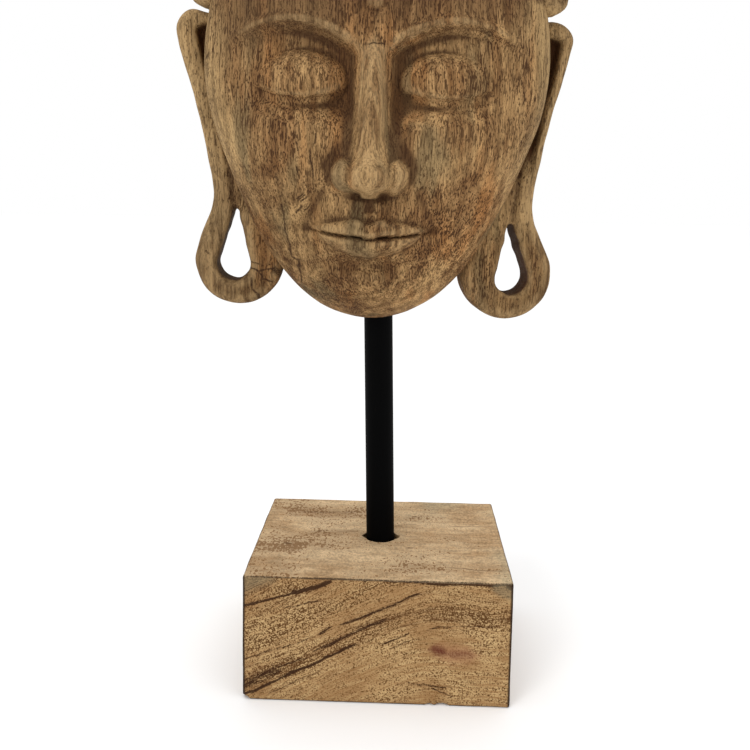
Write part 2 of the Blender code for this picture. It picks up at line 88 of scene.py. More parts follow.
STRAP_BOW_FROM = 0.6
LOBE_RADIUS = 0.0246
LOBE_SHOULDER = 0.0062
LOBE_OUT = 0.0737
LOBE_AT = 0.0267
LOBE_HOLE_RADIUS = 0.0092
LOBE_HOLE_OUT = 0.0766
LOBE_HOLE_AT = 0.0249
LOBE_HOLE_HEIGHT = 0.0390
LOBE_HOLE_LEAN = 0.0012
LOBE_TIP_RADIUS = 0.0018
CHANNEL_RIDGE = 0.0092
CHANNEL_RIDGE_LOW = 0.0070
CHANNEL_DEPTH = 0.0075
CHANNEL_BOTTOM_AT = 0.0720
EAR_LEAN = math.radians(-1.35)
EAR_SLANT = -0.10
EAR_LOWER = 0.0014
RIDGE_NARROWER = 0.0026
HAIRLINE_AT = 3.0 * FACE_THIRD
HAIRLINE_CURVE = 2.4
CURL_RADIUS = 0.0110
CURL_HEIGHT = 0.0110
CURL_LIFT = 0.0030
CURL_PITCH = 0.0226
CURL_ROWS = 5
CURL_ROW_PITCH = 0.0203
CURL_FIRST_ROW = 0.0092
CURL_TURN_BACK = 1.6
CURL_ABOVE_EAR = 0.0076
TOPKNOT_HALF = Vector((0.036, 0.028, 0.027))
TOPKNOT_RINGS = ((28.0, 7), (62.0, 3))

CHIN_AT = BLOCK_HEIGHT + ROD_SHOWN
HEAD_OUT = ROD_SHOWN * math.tan(ROD_LEAN) + HEAD_OFFSET
HEAD_PLACE = Matrix.Translation((HEAD_OUT, 0.0, CHIN_AT)) @ Matrix.Rotation(HEAD_TIP, 4, "Y")
ROD_PLACE = Matrix.Translation((0.0, 0.0, BLOCK_HEIGHT)) @ Matrix.Rotation(ROD_LEAN, 4, "Y")
TOPKNOT_CENTRE = Vector((0.0, BACK_Y / 2.0, HEAD_HEIGHT))
PAST = 0.004

# Ears, more finely than the solids: the round edges of the plate and of its hole, by how much the
# hole's is narrower on +X and wider on -X, the channel's round edge, and the fold below it
EAR_EDGE = 0.0050
HOLE_EDGE = 0.0032
HOLE_EDGE_UNEVEN = 0.0012
CHANNEL_EDGE = 0.0028
FOLD_DEPTH = 0.0016
FOLD_LINE = ((0.0815, 0.0950), (0.0758, 0.0560))

# Fineness of the surfaces: counts of points and steps, and gaps between points in metres
FRONT_COLUMNS = 170
FRONT_ROWS = 280
EAR_SPACING = 0.0015
EDGE_ROWS = (0.0001, 0.0005, 0.0012, 0.0022, 0.0035, 0.0050)
HOLE_ROWS = (-0.0001, -0.0005, -0.0012, -0.0022, -0.0035)
CHANNEL_ROWS = (-0.0030, -0.0022, -0.0015, -0.0009, -0.0004, 0.0001, 0.0007, 0.0014)
LINE_STEPS = 240
WALL_STEPS = 40
ROW_STEPS = 60
BLOCK_SPACING = 0.0014
SHARP_ANGLE = math.radians(42.0)
AVERAGING_TURNS = 160
FINE_TURNS = 10

# Splits, scratches and nicks in the mask's front: (half width, points as (x, z)), whole numbers in
# tenths of a millimetre here and in the lines of the block
CRACKS = in_metres((
    (8, ((-519, 2589), (-508, 2537), (-476, 2328), (-439, 2313), (-428, 2187))),
    (6, ((-80, 3364), (-7, 3368))),
    (5, ((-431, 2623), (-398, 2658))),
    (5, ((-421, 2619), (-388, 2650))),
    (5, ((-410, 2613), (-382, 2634))),
    (8, ((-436, 2557), (-410, 2592))),
    (6, ((-398, 2572), (-370, 2592))),
    (7, ((-365, 2865), (-355, 2783), (-349, 2741))),
    (5, ((-342, 2943), (-342, 2896))),
    (5, ((-433, 2904), (-427, 2865))),
    (5, ((-425, 2779), (-421, 2732))),
    (10, ((-930, 3340), (-922, 3350))),
    (7, ((-985, 2330), (-975, 2312))),
    (8, ((-740, 2235), (-690, 2215), (-650, 2225), (-600, 2235))),
    (9, ((-735, 2180), (-725, 2125), (-700, 2095), (-690, 2070))),
    (6, ((-690, 2215), (-670, 2170), (-625, 2160))),
    (6, ((-735, 2270), (-695, 2260))),
    (34, ((-600, 2228), (-575, 2205))),
))

# The block's wood in layers that slant across its front: (height in mm, how dark or how specked)
LAYER_TONES = (
    (0.0, 0.10), (18.0, 0.05), (26.0, 0.22), (29.0, 0.08), (36.5, 0.15), (38.3, 0.75), (39.6, 0.35),
    (42.0, 0.55), (44.5, 0.72), (47.5, 0.35), (50.0, 0.12), (51.8, 0.50), (52.8, 0.20), (58.0, 0.12),
    (62.0, 0.22), (67.0, 0.12), (72.0, 0.25), (77.5, 0.35), (79.5, 0.85), (81.5, 0.30), (88.0, 0.35),
    (94.0, 0.55), (100.0, 0.40),
)
LAYER_SPECKS = (
    (0.0, 0.15), (20.0, 0.10), (30.0, 0.15), (36.0, 0.35), (42.0, 1.00), (47.0, 0.80), (50.0, 0.15),
    (56.0, 0.25), (61.0, 0.85), (68.0, 0.75), (72.0, 0.35), (80.0, 0.45), (86.0, 0.90), (95.0, 0.60),
    (100.0, 0.60),
)

# Chips in the block's lower front edge: (x, reach, bite)
CHIPS = ((0.0345, 0.0032, 0.0007), (0.0275, 0.0022, 0.0005), (-0.0690, 0.0030, 0.0008))

# Lines in the block's wood: (half width, strength, points), as (x, z) on the front and (x, y) on the top
FRONT_LINES = in_metres((
    (16, 0.85, ((-800, 490), (-685, 520), (-595, 545), (-490, 580), (-380, 605))),
    (29, 0.97, ((-490, 580), (-315, 635), (-255, 660), (-200, 680))),
    (14, 0.65, ((-510, 505), (-370, 540), (-310, 555), (-250, 580))),
    (10, 0.55, ((-800, 553), (-690, 600), (-525, 670))),
    (15, 0.62, ((-800, 190), (-680, 230), (-560, 270), (-415, 325), (-310, 375))),
    (21, 0.80, ((-310, 375), (-225, 415))),
    (16, 0.80, ((-225, 415), (-100, 465), (15, 515), (80, 545), (180, 595), (265, 620))),
    (15, 0.60, ((-225, 380), (-160, 360), (-105, 410), (15, 465))),
    (27, 0.75, ((-390, 240), (-315, 285), (-215, 335), (-105, 395), (15, 450), (130, 510))),
    (95, 0.68, ((-800, 10), (-620, 120), (-460, 190))),
    (18, 0.70, ((-800, 10), (-680, 85), (-555, 165), (-440, 215), (-320, 255))),
    (19, 0.92, ((-800, -30), (-685, 30), (-555, 90), (-480, 140), (-410, 175), (-320, 215), (-220, 270),
        (-60, 350))),
    (14, 0.60, ((-600, 15), (-400, 120), (-260, 190))),
    (14, 0.72, ((-5, 315), (110, 370), (200, 420))),
    (12, 0.65, ((50, 300), (145, 345), (200, 375))),
    (12, 0.62, ((225, 400), (285, 425), (385, 440), (435, 440), (650, 450))),
    (14, 0.60, ((130, 140), (300, 105), (420, 115))),
    (12, 0.65, ((205, 135), (325, 85), (440, 40))),
    (39, 0.85, ((665, 665), (700, 650))),
    (19, 0.85, ((-150, 678), (350, 671), (860, 668))),
))
TOP_LINES = in_metres((
    (10, 0.70, ((355, -375), (530, -400), (690, -405))),
    (9, 0.55, ((385, 160), (690, 170))),
    (20, 0.95, ((155, -155), (185, -155))),
    (24, 0.80, ((-540, -130), (-500, -130))),
    (30, 0.45, ((-425, 40), (-95, 60))),
    (20, 0.60, ((-545, 330), (-330, 330), (-105, 360))),
    (18, 0.40, ((130, 290), (330, 320))),
    (12, 0.45, ((200, -240), (330, -330), (420, -420))),
))
KNOT = in_metres(((293, 305), (353, 300), (438, 285), (515, 290)))
CURVE_SPAN = 0.2

# Greyed upper corners of the block's front: (half width, points as (x, z))
GREY_CORNERS = in_metres((
    (90, ((-750, 630), (-580, 700))),
    (50, ((620, 655), (720, 610))),
))

# Colours of the mask's wood
BROWN = (0.180, 0.088, 0.034)
TAN = (0.400, 0.245, 0.105)
ORANGE = (0.350, 0.155, 0.050)
GREY_BROWN = (0.150, 0.110, 0.054)
PALE_STRAP = (0.380, 0.257, 0.119)
DARK_BROW = (0.098, 0.049, 0.021)
PORE = (0.044, 0.019, 0.008)
RUBBED = (0.420, 0.280, 0.135)
# Darkening in the hollows, and in the ear channels and lobe holes: partly staining, partly painted shade
CREVICE_STAIN_AND_SHADE = (0.045, 0.019, 0.008)
CHANNEL_STAIN_AND_SHADE = (0.075, 0.029, 0.011)
SPLIT = (0.026, 0.011, 0.006)

# Colours of the block: its sides, its top and its edges
SIDE_DEEP = (0.352, 0.206, 0.087)
SIDE_PALE = (0.580, 0.392, 0.184)
SIDE_THREAD = (0.200, 0.092, 0.030)
SIDE_LAYER = (0.115, 0.050, 0.018)
SIDE_SPECK = (0.090, 0.037, 0.010)
SIDE_LINE = (0.150, 0.060, 0.019)
LINE_CORE = (0.032, 0.012, 0.004)
GREY_CORNER = (0.160, 0.130, 0.078)
KNOT_HALO = (0.340, 0.150, 0.078)
KNOT_HEART = (0.108, 0.028, 0.014)
# The top's colours are paler than the sides', partly as painted light from above
TOP_DEEP = (0.400, 0.255, 0.130)
TOP_PALE = (0.600, 0.430, 0.250)
TOP_GREY = (0.420, 0.345, 0.215)
TOP_FLECK = (0.165, 0.078, 0.027)
TOP_LINE = (0.090, 0.045, 0.020)
# Dark edges, partly painted shade on their rounding
EDGE_DARK_AND_SHADE = (0.022, 0.011, 0.006)

# Colours of the rod and the paper
COAT_DARK = (0.0006, 0.0006, 0.0007)
COAT_LIGHT = (0.0014, 0.0014, 0.0015)
PAPER = (0.90, 0.90, 0.90)

# Light: the surround as it lights the object, the soft light from above and its spread, and two
# lamps as (place, size, power) with the point that they are aimed at; the paper's half width
SURROUND_LIGHT = 0.50
CEILING_LIGHT = 2.0
CEILING_SPREAD = math.radians(70.0)
LAMPS = {"key": ((-0.9, -1.3, 1.1), 0.8, 10.0), "fill": ((1.3, -1.0, 0.6), 1.2, 5.0)}
LAMPS_AIM = Vector((0.0, 0.0, 0.25))
FLOOR_HALF = 6.0

# Camera: its place, its turns to the right, down and about its own axis in degrees, its lens and
# picture width in mm, and the lens shift as a share of that width
CAMERA_AT = (0.009, -0.4672, 0.2696)
CAMERA_TURNS = (-1.76, 6.41, 0.89)
LENS = 40.32
SENSOR_WIDTH = 36.0
LENS_SHIFT = -0.1267


def step(low, high, value):
    """Smooth rise from 0 at low to 1 at high."""
    share = np.clip((value - low) / (high - low), 0.0, 1.0)
    return share * share * (3.0 - 2.0 * share)


def bell(value, width):
    """Round hump of height 1 that has fallen to 1/e at the given width."""
    return np.exp(-((value / width) ** 2))


def blend_max(first, second, softness):
    """The larger of two heights, rounded where they cross."""
    share = np.clip(0.5 + 0.5 * (first - second) / softness, 0.0, 1.0)
    return second + (first - second) * share + softness * share * (1.0 - share)


def soft_noise(points, size, seed):
    """Smooth random value from -1 to 1: random numbers on a lattice, blended between its corners."""
    lattice = np.random.default_rng(seed).uniform(-1.0, 1.0, (32, 32, 32))
    cell = np.floor(points / size).astype(int)
    part = points / size - cell
    part = part * part * (3.0 - 2.0 * part)
    total = np.zeros(points.shape[:-1])
    for corner in np.ndindex(2, 2, 2):
        weight = np.prod(np.where(corner, part, 1.0 - part), axis=-1)
        index = (cell + corner) % 32
        total += weight * lattice[index[..., 0], index[..., 1], index[..., 2]]
    return total


# Meshes from arrays of points

def quads(index):
    """Four-cornered faces between neighbours on a grid of point numbers."""
    corners = (index[:-1, :-1], index[:-1, 1:], index[1:, 1:], index[1:, :-1])
    return np.stack([corner.ravel() for corner in corners], axis=1)


def grid_faces(rows, columns, closed=False):
    """Faces of a grid of points; a closed grid joins its last column to its first."""
    index = np.arange(rows * columns).reshape(rows, columns)
    if closed:
        index = np.concatenate([index, index[:, :1]], axis=1)
    return quads(index)


def grid_edge(rows, columns):
    """Numbers of the points along a grid's edge, once round."""
    index = np.arange(rows * columns).reshape(rows, columns)
    return np.concatenate([index[0, :-1], index[:-1, -1], index[-1, :0:-1], index[:0:-1, 0]])


def make_piece(name, points, faces, place=None):
    """Object from points and lists of faces, its doubles merged and its faces turned outwards."""
    mesh = bpy.data.meshes.new(name)
    corners = [face for part in faces for face in np.asarray(part).tolist()]
    mesh.from_pydata(np.asarray(points).tolist(), [], corners)
    work = bmesh.new()
    work.from_mesh(mesh)
    bmesh.ops.remove_doubles(work, verts=work.verts, dist=1e-7)
    bmesh.ops.recalc_face_normals(work, faces=work.faces)
    work.to_mesh(mesh)
    work.free()
    if place:
        mesh.transform(place)
    mesh.shade_smooth()
    piece = bpy.data.objects.new(name, mesh)
    bpy.context.scene.collection.objects.link(piece)
    return piece


def sheet_solid(name, sheet, depths, place=None):
    """Solid behind a grid of points: its edge is carried along Y through the depths, and a lid closes it."""
    rows, columns = sheet.shape[:2]
    edge = grid_edge(rows, columns)
    points = sheet.reshape(-1, 3)
    rings = np.repeat(points[edge][None], len(depths), axis=0)
    rings[..., 1] = np.asarray(depths)[:, None]
    first = rows * columns
    count = rings[..., 0].size
    wall = np.concatenate([edge[None], first + np.arange(count).reshape(len(depths), -1)])
    wall = np.concatenate([wall, wall[:, :1]], axis=1)
    last = wall[-1]
    lid = np.stack([last[1:], last[:-1], np.full(len(last) - 1, first + count)], axis=1)
    points = np.concatenate([points, rings.reshape(-1, 3), rings[-1].mean(axis=0)[None]])
    return make_piece(name, points, [grid_faces(rows, columns), quads(wall), lid], place)


def full_turn(count):
    """Angles evenly round a circle."""
    return np.linspace(0.0, 2.0 * math.pi, count, endpoint=False)


def turned(profile, sides):
    """Surface of revolution: a profile of (radius, height) carried round the Z axis, on a grid."""
    angle = full_turn(sides)
    radius, height = np.asarray(profile, float).T[..., None]
    grids = np.broadcast_arrays(radius * np.cos(angle), radius * np.sin(angle), height)
    return np.stack(grids, axis=-1)


def bar_profile(radius, heights):
    """Profile of a plain cylinder with flat ends."""
    return [(0.0, heights[0])] + [(radius, height) for height in heights] + [(0.0, heights[-1])]


def turned_piece(name, surface, place=None):
    """Closed object from a surface of revolution whose first and last rows are points on its axis."""
    return make_piece(name, surface.reshape(-1, 3), [grid_faces(*surface.shape[:2], closed=True)], place)


def joined(target, others, operation):
    """Gives the target a new mesh, joined with or cut by the other objects, which are then removed."""
    group = bpy.data.collections.new("others")
    bpy.context.scene.collection.children.link(group)
    for piece in others:
        bpy.context.scene.collection.objects.unlink(piece)
        group.objects.link(piece)
    modifier = target.modifiers.new("Join", "BOOLEAN")
    modifier.solver = "MANIFOLD"
    modifier.operation = operation
    modifier.operand_type = "COLLECTION"
    modifier.collection = group
    evaluated = target.evaluated_get(bpy.context.evaluated_depsgraph_get())
    mesh = bpy.data.meshes.new_from_object(evaluated)
    target.modifiers.clear()
    target.data = mesh
    for piece in others:
        bpy.data.objects.remove(piece)
    bpy.data.collections.remove(group)


# Head and face: the same forms as the solid, more finely

def head_outline(angle):
    """Distance from the head's widest line to its outline: two half ellipses, the lower tapered."""
    rise = np.sin(angle)
    reach = np.where(rise > 0.0, HEAD_HEIGHT - WIDEST_AT, WIDEST_AT)
    distance = 1.0 / np.hypot(np.cos(angle) * 2.0 / HEAD_WIDTH, rise / reach)
    return distance * (1.0 - np.where(rise > 0.0, 0.0, JAW_TAPER * np.sin(2.0 * angle) ** 2))


def hairline(across):
    """Height of the hairline above the chin, falling in an arc to the tops of the ears."""
    fall = HAIRLINE_AT - EAR_TOP_AT - EAR_TOP_RADIUS
    return HAIRLINE_AT - fall * np.minimum(np.abs(across) * 2.0 / HEAD_WIDTH, 1.0) ** HAIRLINE_CURVE


def broad_relief(side, z):
    """Cheeks, forehead, muzzle, chin and temples as round humps and dips.

    This and the next three functions work in thirds of the face: side is the distance from its
    middle line, z the height above the chin, and each returns how far the wood stands out.
    """
    height = 0.062 * bell(side - 0.70, 0.38) * bell(z - 1.22, 0.40)
    height += 0.030 * bell(side, 0.70) * bell(z - 2.45, 0.40)
    height += 0.075 * bell(side, 0.44) * bell(z - 0.72, 0.30)
    height += 0.090 * bell(side, 0.27) * bell(z - 0.27, 0.20)
    height -= 0.050 * bell(side, 0.26) * bell(z - 0.455, 0.055)
    height -= 0.030 * bell(side - 1.12, 0.16) * bell(z - 2.02, 0.30)
    return height


def eye_relief(height, side, z):
    """Arched brow, its socket, and an eyeball under a closed lid with a sagging lash line."""
    brow = 1.82 + 0.34 * np.sin(np.pi * np.clip((side + 0.10) / 1.42, 0.0, 1.0)) ** 0.9
    below = brow - z
    reach = step(0.05, 0.20, side) * (1.0 - step(0.82, 1.14, side))
    depth = 0.115 - 0.065 * step(0.30, 1.00, side)
    height = height - reach * depth * step(-0.012, 0.09, below) * (1.0 - step(0.40, 0.72, below))
    height += 0.018 * bell(below + 0.022, 0.035) * step(0.05, 0.20, side) * (1.0 - step(0.90, 1.15, side))
    across = side - 0.530
    up = z - 1.740
    ball = 1.0 - (across / 0.360) ** 2 - (up / np.where(up > 0.0, 0.240, 0.205)) ** 2
    lid = np.where(ball > 0.0, 0.150 * np.sqrt(np.clip(ball, 0.0, 1.0)) - 0.112, -0.3)
    height = blend_max(height, 0.25 * height + lid, 0.016)
    lash = 1.628 + 0.065 * (across / 0.30) ** 2 + 0.04 * across
    under = lash - z
    inside = 1.0 - step(0.27, 0.34, np.abs(across))
    height -= inside * 0.020 * step(0.0, 0.016, under) * (1.0 - step(0.06, 0.14, under))
    height -= inside * 0.024 * bell(under, 0.011)
    height -= 0.014 * (1.0 - step(0.24, 0.38, np.abs(across))) * bell(under - 0.140, 0.032)
    return height


def nose_relief(side, z):
    """Straight ridge that widens downwards, a round tip and two wings with nostrils, cut in below."""
    up = z - 1.0
    ridge = 0.300 - 0.205 * np.clip(up, 0.0, 1.0) ** 0.80
    half = 0.098 + 0.016 * np.cos(np.pi * np.clip(up, 0.0, 1.0)) + 0.050 * bell(z - 1.08, 0.16)
    foot = step(0.93, 1.05, z + 0.06 * side) * (1.0 - step(1.78, 2.24, z))
    nose = ridge * foot / (1.0 + (side / half) ** 3.0)
    tip = 1.0 - (side / 0.165) ** 2 - ((z - 1.095) / 0.160) ** 2
    wing = 1.0 - ((side - 0.170) / 0.112) ** 2 - ((z - 1.100) / 0.125) ** 2
    nose = blend_max(nose, 0.318 * np.clip(tip, 0.0, 1.0) ** 0.42, 0.040)
    nose = blend_max(nose, 0.190 * np.clip(wing, 0.0, 1.0) ** 0.45, 0.040)
    nostril = bell(side - 0.088, 0.045) * bell(z - 0.962, 0.034)
    return nose * (1.0 - 0.75 * nostril) - 0.020 * nostril


def mouth_relief(side, z):
    """Two full lips on a line that rises at its ends, with the groove between and the fold beside."""
    line = 0.667 + 0.042 * (side / 0.42) ** 2.2 - 0.012 * bell(side, 0.07)
    span = np.clip(1.0 - (side / 0.43) ** 2, 0.0, 1.0)
    low_span = np.clip(1.0 - (side / 0.38) ** 2, 0.0, 1.0)
    top = line + 0.125 * span ** 0.75 + 0.018 * bell(side - 0.090, 0.05) - 0.012 * bell(side, 0.04)
    bottom = line - 0.158 * low_span ** 0.7
    up = np.clip((z - line) / np.maximum(top - line, 1e-4), 0.0, 1.0)
    down = np.clip((line - z) / np.maximum(line - bottom, 1e-4), 0.0, 1.0)
    bulge = np.sqrt(np.clip(1.0 - np.clip(2.0 * down - 0.9, -1.0, 1.0) ** 2, 0.0, 1.0))
    upper = (0.058 * (1.0 - up) ** 0.8 + 0.022) * span ** 0.4 * (1.0 - step(0.86, 1.0, up))
    height = np.where((z >= line) & (z < top), upper, 0.0)
    height += np.where((z < line) & (z > bottom), 0.078 * bulge * low_span ** 0.35, 0.0)
    height -= 0.034 * bell(z - line, 0.012) * (1.0 - step(0.38, 0.46, side))
    height -= 0.030 * bell(side - 0.45, 0.042) * bell(z - 0.712, 0.042)
    height -= 0.022 * bell(side, 0.044) * step(0.80, 0.86, z) * (1.0 - step(0.92, 0.99, z))
    fold = 0.30 + 0.25 * np.clip((1.08 - z) / 0.45, 0.0, 1.2) ** 1.2
    height -= 0.020 * bell(side - fold, 0.055) * step(0.60, 0.78, z) * (1.0 - step(0.98, 1.12, z))
    return height


def face_relief(across, up):
    """How far the carving stands out of the plain dome, for points measured from the chin."""
    side = np.abs(across) / FACE_THIRD
    z = up / FACE_THIRD
    height = eye_relief(broad_relief(side, z), side, z)
    height += nose_relief(side, z) + mouth_relief(side, z)
    mark = np.hypot(side, z - 2.29)
    dot = 0.016 * np.sqrt(np.clip(1.0 - (mark / 0.068) ** 2, 0.0, 1.0))
    height += dot - 0.012 * bell(mark - 0.074, 0.010)
    hair = HAIR_RISE / FACE_THIRD * step(-0.0010, 0.0015, up - hairline(across))
    return FACE_THIRD * (height + hair)


def dome(angle, share):
    """Point of the front: share runs from 0 at the middle to 1 at the rim, angle round the head."""
    turn = share * math.pi / 2.0
    out = np.sin(turn) ** (2.0 / DOME_POWER)
    deep = np.clip(np.cos(turn), 0.0, 1.0) ** (2.0 / DOME_POWER)
    across = head_outline(angle) * out * np.cos(angle)
    up = WIDEST_AT + head_outline(angle) * out * np.sin(angle)
    forward = DOME_DEPTH * deep + face_relief(across, up) * step(0.15, 0.55, deep)
    return np.stack([across, RIM_Y - forward, up], axis=-1)


def drawn_together(count, focus, spread, gain):
    """Values from -1 to 1, closer together round the focus."""
    even = np.linspace(-1.0, 1.0, 2001)
    density = 1.0 + gain * bell(even - focus, spread)
    total = np.concatenate([[0.0], np.cumsum((density[1:] + density[:-1]) / 2.0)])
    return np.interp(np.linspace(0.0, total[-1], count), total, even)


def make_head():
    """Carved front on a square grid drawn into the head's outline, with its side wall."""
    columns = drawn_together(FRONT_COLUMNS, 0.0, 0.55, 0.8)
    rows = drawn_together(FRONT_ROWS, -0.25, 0.60, 0.8)
    across, up = np.meshgrid(columns, rows)
    flat = np.stack([across * np.sqrt(1.0 - up ** 2 / 2.0), up * np.sqrt(1.0 - across ** 2 / 2.0)])
    share = np.minimum(np.hypot(flat[0], flat[1]), 1.0)
    front = dome(np.arctan2(flat[1], flat[0]), share)
    depths = np.linspace(RIM_Y, BACK_Y + PAST, 12)[1:]
    return sheet_solid("mask_carving", front, depths, HEAD_PLACE)


# Ears

def arc(centre, radius, first, last, count):
    """Points on an arc between two angles in degrees, with one radius or one for each point."""
    angles = np.radians(np.linspace(first, last, count))
    return np.stack([centre[0] + radius * np.cos(angles), centre[1] + radius * np.sin(angles)], axis=1)


def line_gap(points, start, end):
    """Distance of each point to the straight line between two others."""
    along = np.subtract(end, start)
    share = np.clip((points - start) @ along / (along @ along), 0.0, 1.0)
    return np.linalg.norm(points - start - share[:, None] * along, axis=1)


def strap_edge(up):
    """How far out the ear's strap reaches at a height between the neck and the top."""
    share = (up - EAR_NECK_AT) / (EAR_TOP_AT - EAR_NECK_AT)
    bow = STRAP_BOW * np.sin(math.pi * np.clip((share - STRAP_BOW_FROM) / (1.0 - STRAP_BOW_FROM), 0.0, 1.0))
    return EAR_NECK_OUT + (EAR_TOP_OUT + EAR_TOP_RADIUS - EAR_NECK_OUT) * (share ** STRAP_SWEEP + bow)


def ear_place(side):
    """Place of an ear: leant about its neck and set lower on +X, higher on -X."""
    neck = Vector((side * EAR_NECK_OUT, 0.0, EAR_NECK_AT))
    lowered = Matrix.Translation(neck - Vector((0.0, 0.0, side * EAR_LOWER)))
    return HEAD_PLACE @ lowered @ Matrix.Rotation(EAR_LEAN, 4, "Y") @ Matrix.Translation(-neck)


def lengths_along(path):
    """Distance of each point of a path from its first point, along the path."""
    return np.concatenate([[0.0], np.cumsum(np.linalg.norm(np.diff(path, axis=0), axis=1))])


def evenly(loop, spacing):
    """The same closed line with its points an even spacing apart."""
    closed = np.concatenate([loop, loop[:1]])
    lengths = lengths_along(closed)
    even = np.linspace(0.0, lengths[-1], int(lengths[-1] / spacing), endpoint=False)
    return np.stack([np.interp(even, lengths, column) for column in closed.T], axis=1)


def softened(loop, reach):
    """Closed line whose points are averaged over their neighbours, with weights on a bell curve."""
    offsets = np.arange(-3 * reach, 3 * reach + 1)
    weights = bell(offsets, reach)
    weights /= weights.sum()
    return sum(weight * np.roll(loop, offset, axis=0) for weight, offset in zip(weights, offsets))


def inward(loop):
    """Unit vectors square to a closed line, to its left as it runs."""
    along = np.roll(loop, -1, axis=0) - np.roll(loop, 1, axis=0)
    along /= np.linalg.norm(along, axis=1)[:, None]
    return np.stack([-along[:, 1], along[:, 0]], axis=1)


def inside_by(points, loop):
    """Shortest distance of each point to a closed line, positive inside it and negative outside."""
    along = np.roll(loop, -1, axis=0) - loop
    offset = points[:, None] - loop[None]
    share = np.clip((offset * along).sum(axis=-1) / (along ** 2).sum(axis=-1), 0.0, 1.0)
    gap = np.linalg.norm(offset - share[..., None] * along, axis=-1).min(axis=1)
    rises = (loop[:, 1] <= points[:, 1:]) != (loop[:, 1] + along[:, 1] <= points[:, 1:])
    level = np.where(np.abs(along[:, 1]) < 1e-12, 1.0, along[:, 1])
    crossing = loop[:, 0] + offset[..., 1] / level * along[:, 0]
    inside = (rises & (points[:, :1] < crossing)).sum(axis=1) % 2 == 1
    return np.where(inside, gap, -gap)


def quarter_round(distance, radius):
    """How far a surface falls back at a distance inside an edge rounded to a quarter circle."""
    short = np.clip(radius - distance, 0.0, radius)
    return radius - np.sqrt(radius ** 2 - short ** 2)


def ear_lines(side):
    """Outline of the ear, drop-shaped hole and channel, as closed lines of (out, up)."""
    strap = np.linspace(EAR_TOP_AT, EAR_NECK_AT, 40)[1:]
    shoulder = LOBE_RADIUS + LOBE_SHOULDER * np.linspace(1.0, 0.1, 14) ** 2
    outline = np.concatenate([
        [(EAR_INNER, EAR_TOP_AT)],
        arc((EAR_TOP_OUT, EAR_TOP_AT), EAR_TOP_RADIUS, 120.0, 0.0, 20),
        np.stack([strap_edge(strap), strap], axis=1),
        arc((LOBE_OUT, LOBE_AT), shoulder, 60.0, 24.0, 14),
        arc((LOBE_OUT, LOBE_AT), LOBE_RADIUS, 20.0, -205.0, 88),
        [(EAR_INNER, EAR_NECK_AT)],
    ])
    tip_at = LOBE_HOLE_AT - LOBE_HOLE_RADIUS + LOBE_HOLE_HEIGHT - LOBE_TIP_RADIUS
    tip = (LOBE_HOLE_OUT - LOBE_HOLE_LEAN, tip_at)
    lean = math.degrees(math.asin((LOBE_HOLE_RADIUS - LOBE_TIP_RADIUS) / (tip_at - LOBE_HOLE_AT)))
    hole = np.concatenate([
        arc(tip, LOBE_TIP_RADIUS, 180.0 - lean, lean, 10),
        arc((LOBE_HOLE_OUT, LOBE_HOLE_AT), LOBE_HOLE_RADIUS, lean, -180.0 - lean, 60),
    ])
    heights = np.linspace(EAR_TOP_AT, CHANNEL_BOTTOM_AT + 0.010, 30)
    ridge = np.linspace(CHANNEL_RIDGE, CHANNEL_RIDGE_LOW, 30) - side * RIDGE_NARROWER
    channel = np.concatenate([
        np.stack([strap_edge(heights) - ridge, heights], axis=1),
        [(EAR_INNER, CHANNEL_BOTTOM_AT - 0.008), (EAR_INNER, EAR_TOP_AT + EAR_TOP_RADIUS / 2.0)],
        [(EAR_TOP_OUT - EAR_TOP_RADIUS / 2.0, EAR_TOP_AT + EAR_TOP_RADIUS / 4.0)],
    ])
    return softened(evenly(outline, 0.0010), 3), evenly(hole, 0.0007), softened(evenly(channel, 0.0012), 2)


def filled(points, loops):
    """Triangles between points, inside the first closed line and outside the second."""
    ends = []
    first = 0
    for loop in loops:
        index = first + np.arange(len(loop))
        ends.append(np.stack([index, np.roll(index, -1)], axis=1))
        first += len(loop)
    result = delaunay_2d_cdt(points.tolist(), np.concatenate(ends).tolist(), [], 0, 1e-7)
    corners = np.array([vertex[:] for vertex in result[0]])
    triangles = np.array(result[2])
    middle = corners[triangles].mean(axis=1)
    return corners, triangles[(inside_by(middle, loops[0]) > 0.0) & (inside_by(middle, loops[1]) < 0.0)]


def ragged(loop, depth, size, level, seed):
    """Closed line whose points move in and out by a soft noise, read at a level of its own."""
    rise = soft_noise(np.insert(loop, 2, level, axis=1), size, seed)
    return loop + depth * rise[:, None] * inward(loop)


def ear_points(outline, hole, channel):
    """Points of the plate seen from the front: the two edges, rows beside the three lines, and a net."""
    low, high = outline.min(axis=0), outline.max(axis=0)
    columns = np.arange(low[0], high[0], EAR_SPACING)
    net = np.stack(np.meshgrid(columns, np.arange(low[1], high[1], EAR_SPACING * 0.87)), axis=-1)
    net[1::2, :, 0] += EAR_SPACING / 2.0
    net = net.reshape(-1, 2)
    net = net[(inside_by(net, outline) > 0.0060) & (inside_by(net, hole) < -0.0044)]
    beside_channel = np.abs(inside_by(net, channel) + 0.0008) > 0.0030
    net = net[((net[:, 0] > 0.062) | (net[:, 1] < 0.06)) & beside_channel]
    rows = []
    for loop, gaps in ((outline, EDGE_ROWS), (hole, HOLE_ROWS), (channel, CHANNEL_ROWS)):
        for gap in gaps:
            row = loop - gap * inward(loop)
            clear = np.minimum(inside_by(row, outline), -inside_by(row, hole))
            rows.append(row[clear > (0.0056 if loop is channel else 0.93 * abs(gap))])
    return np.concatenate([outline, hole, *rows, net])


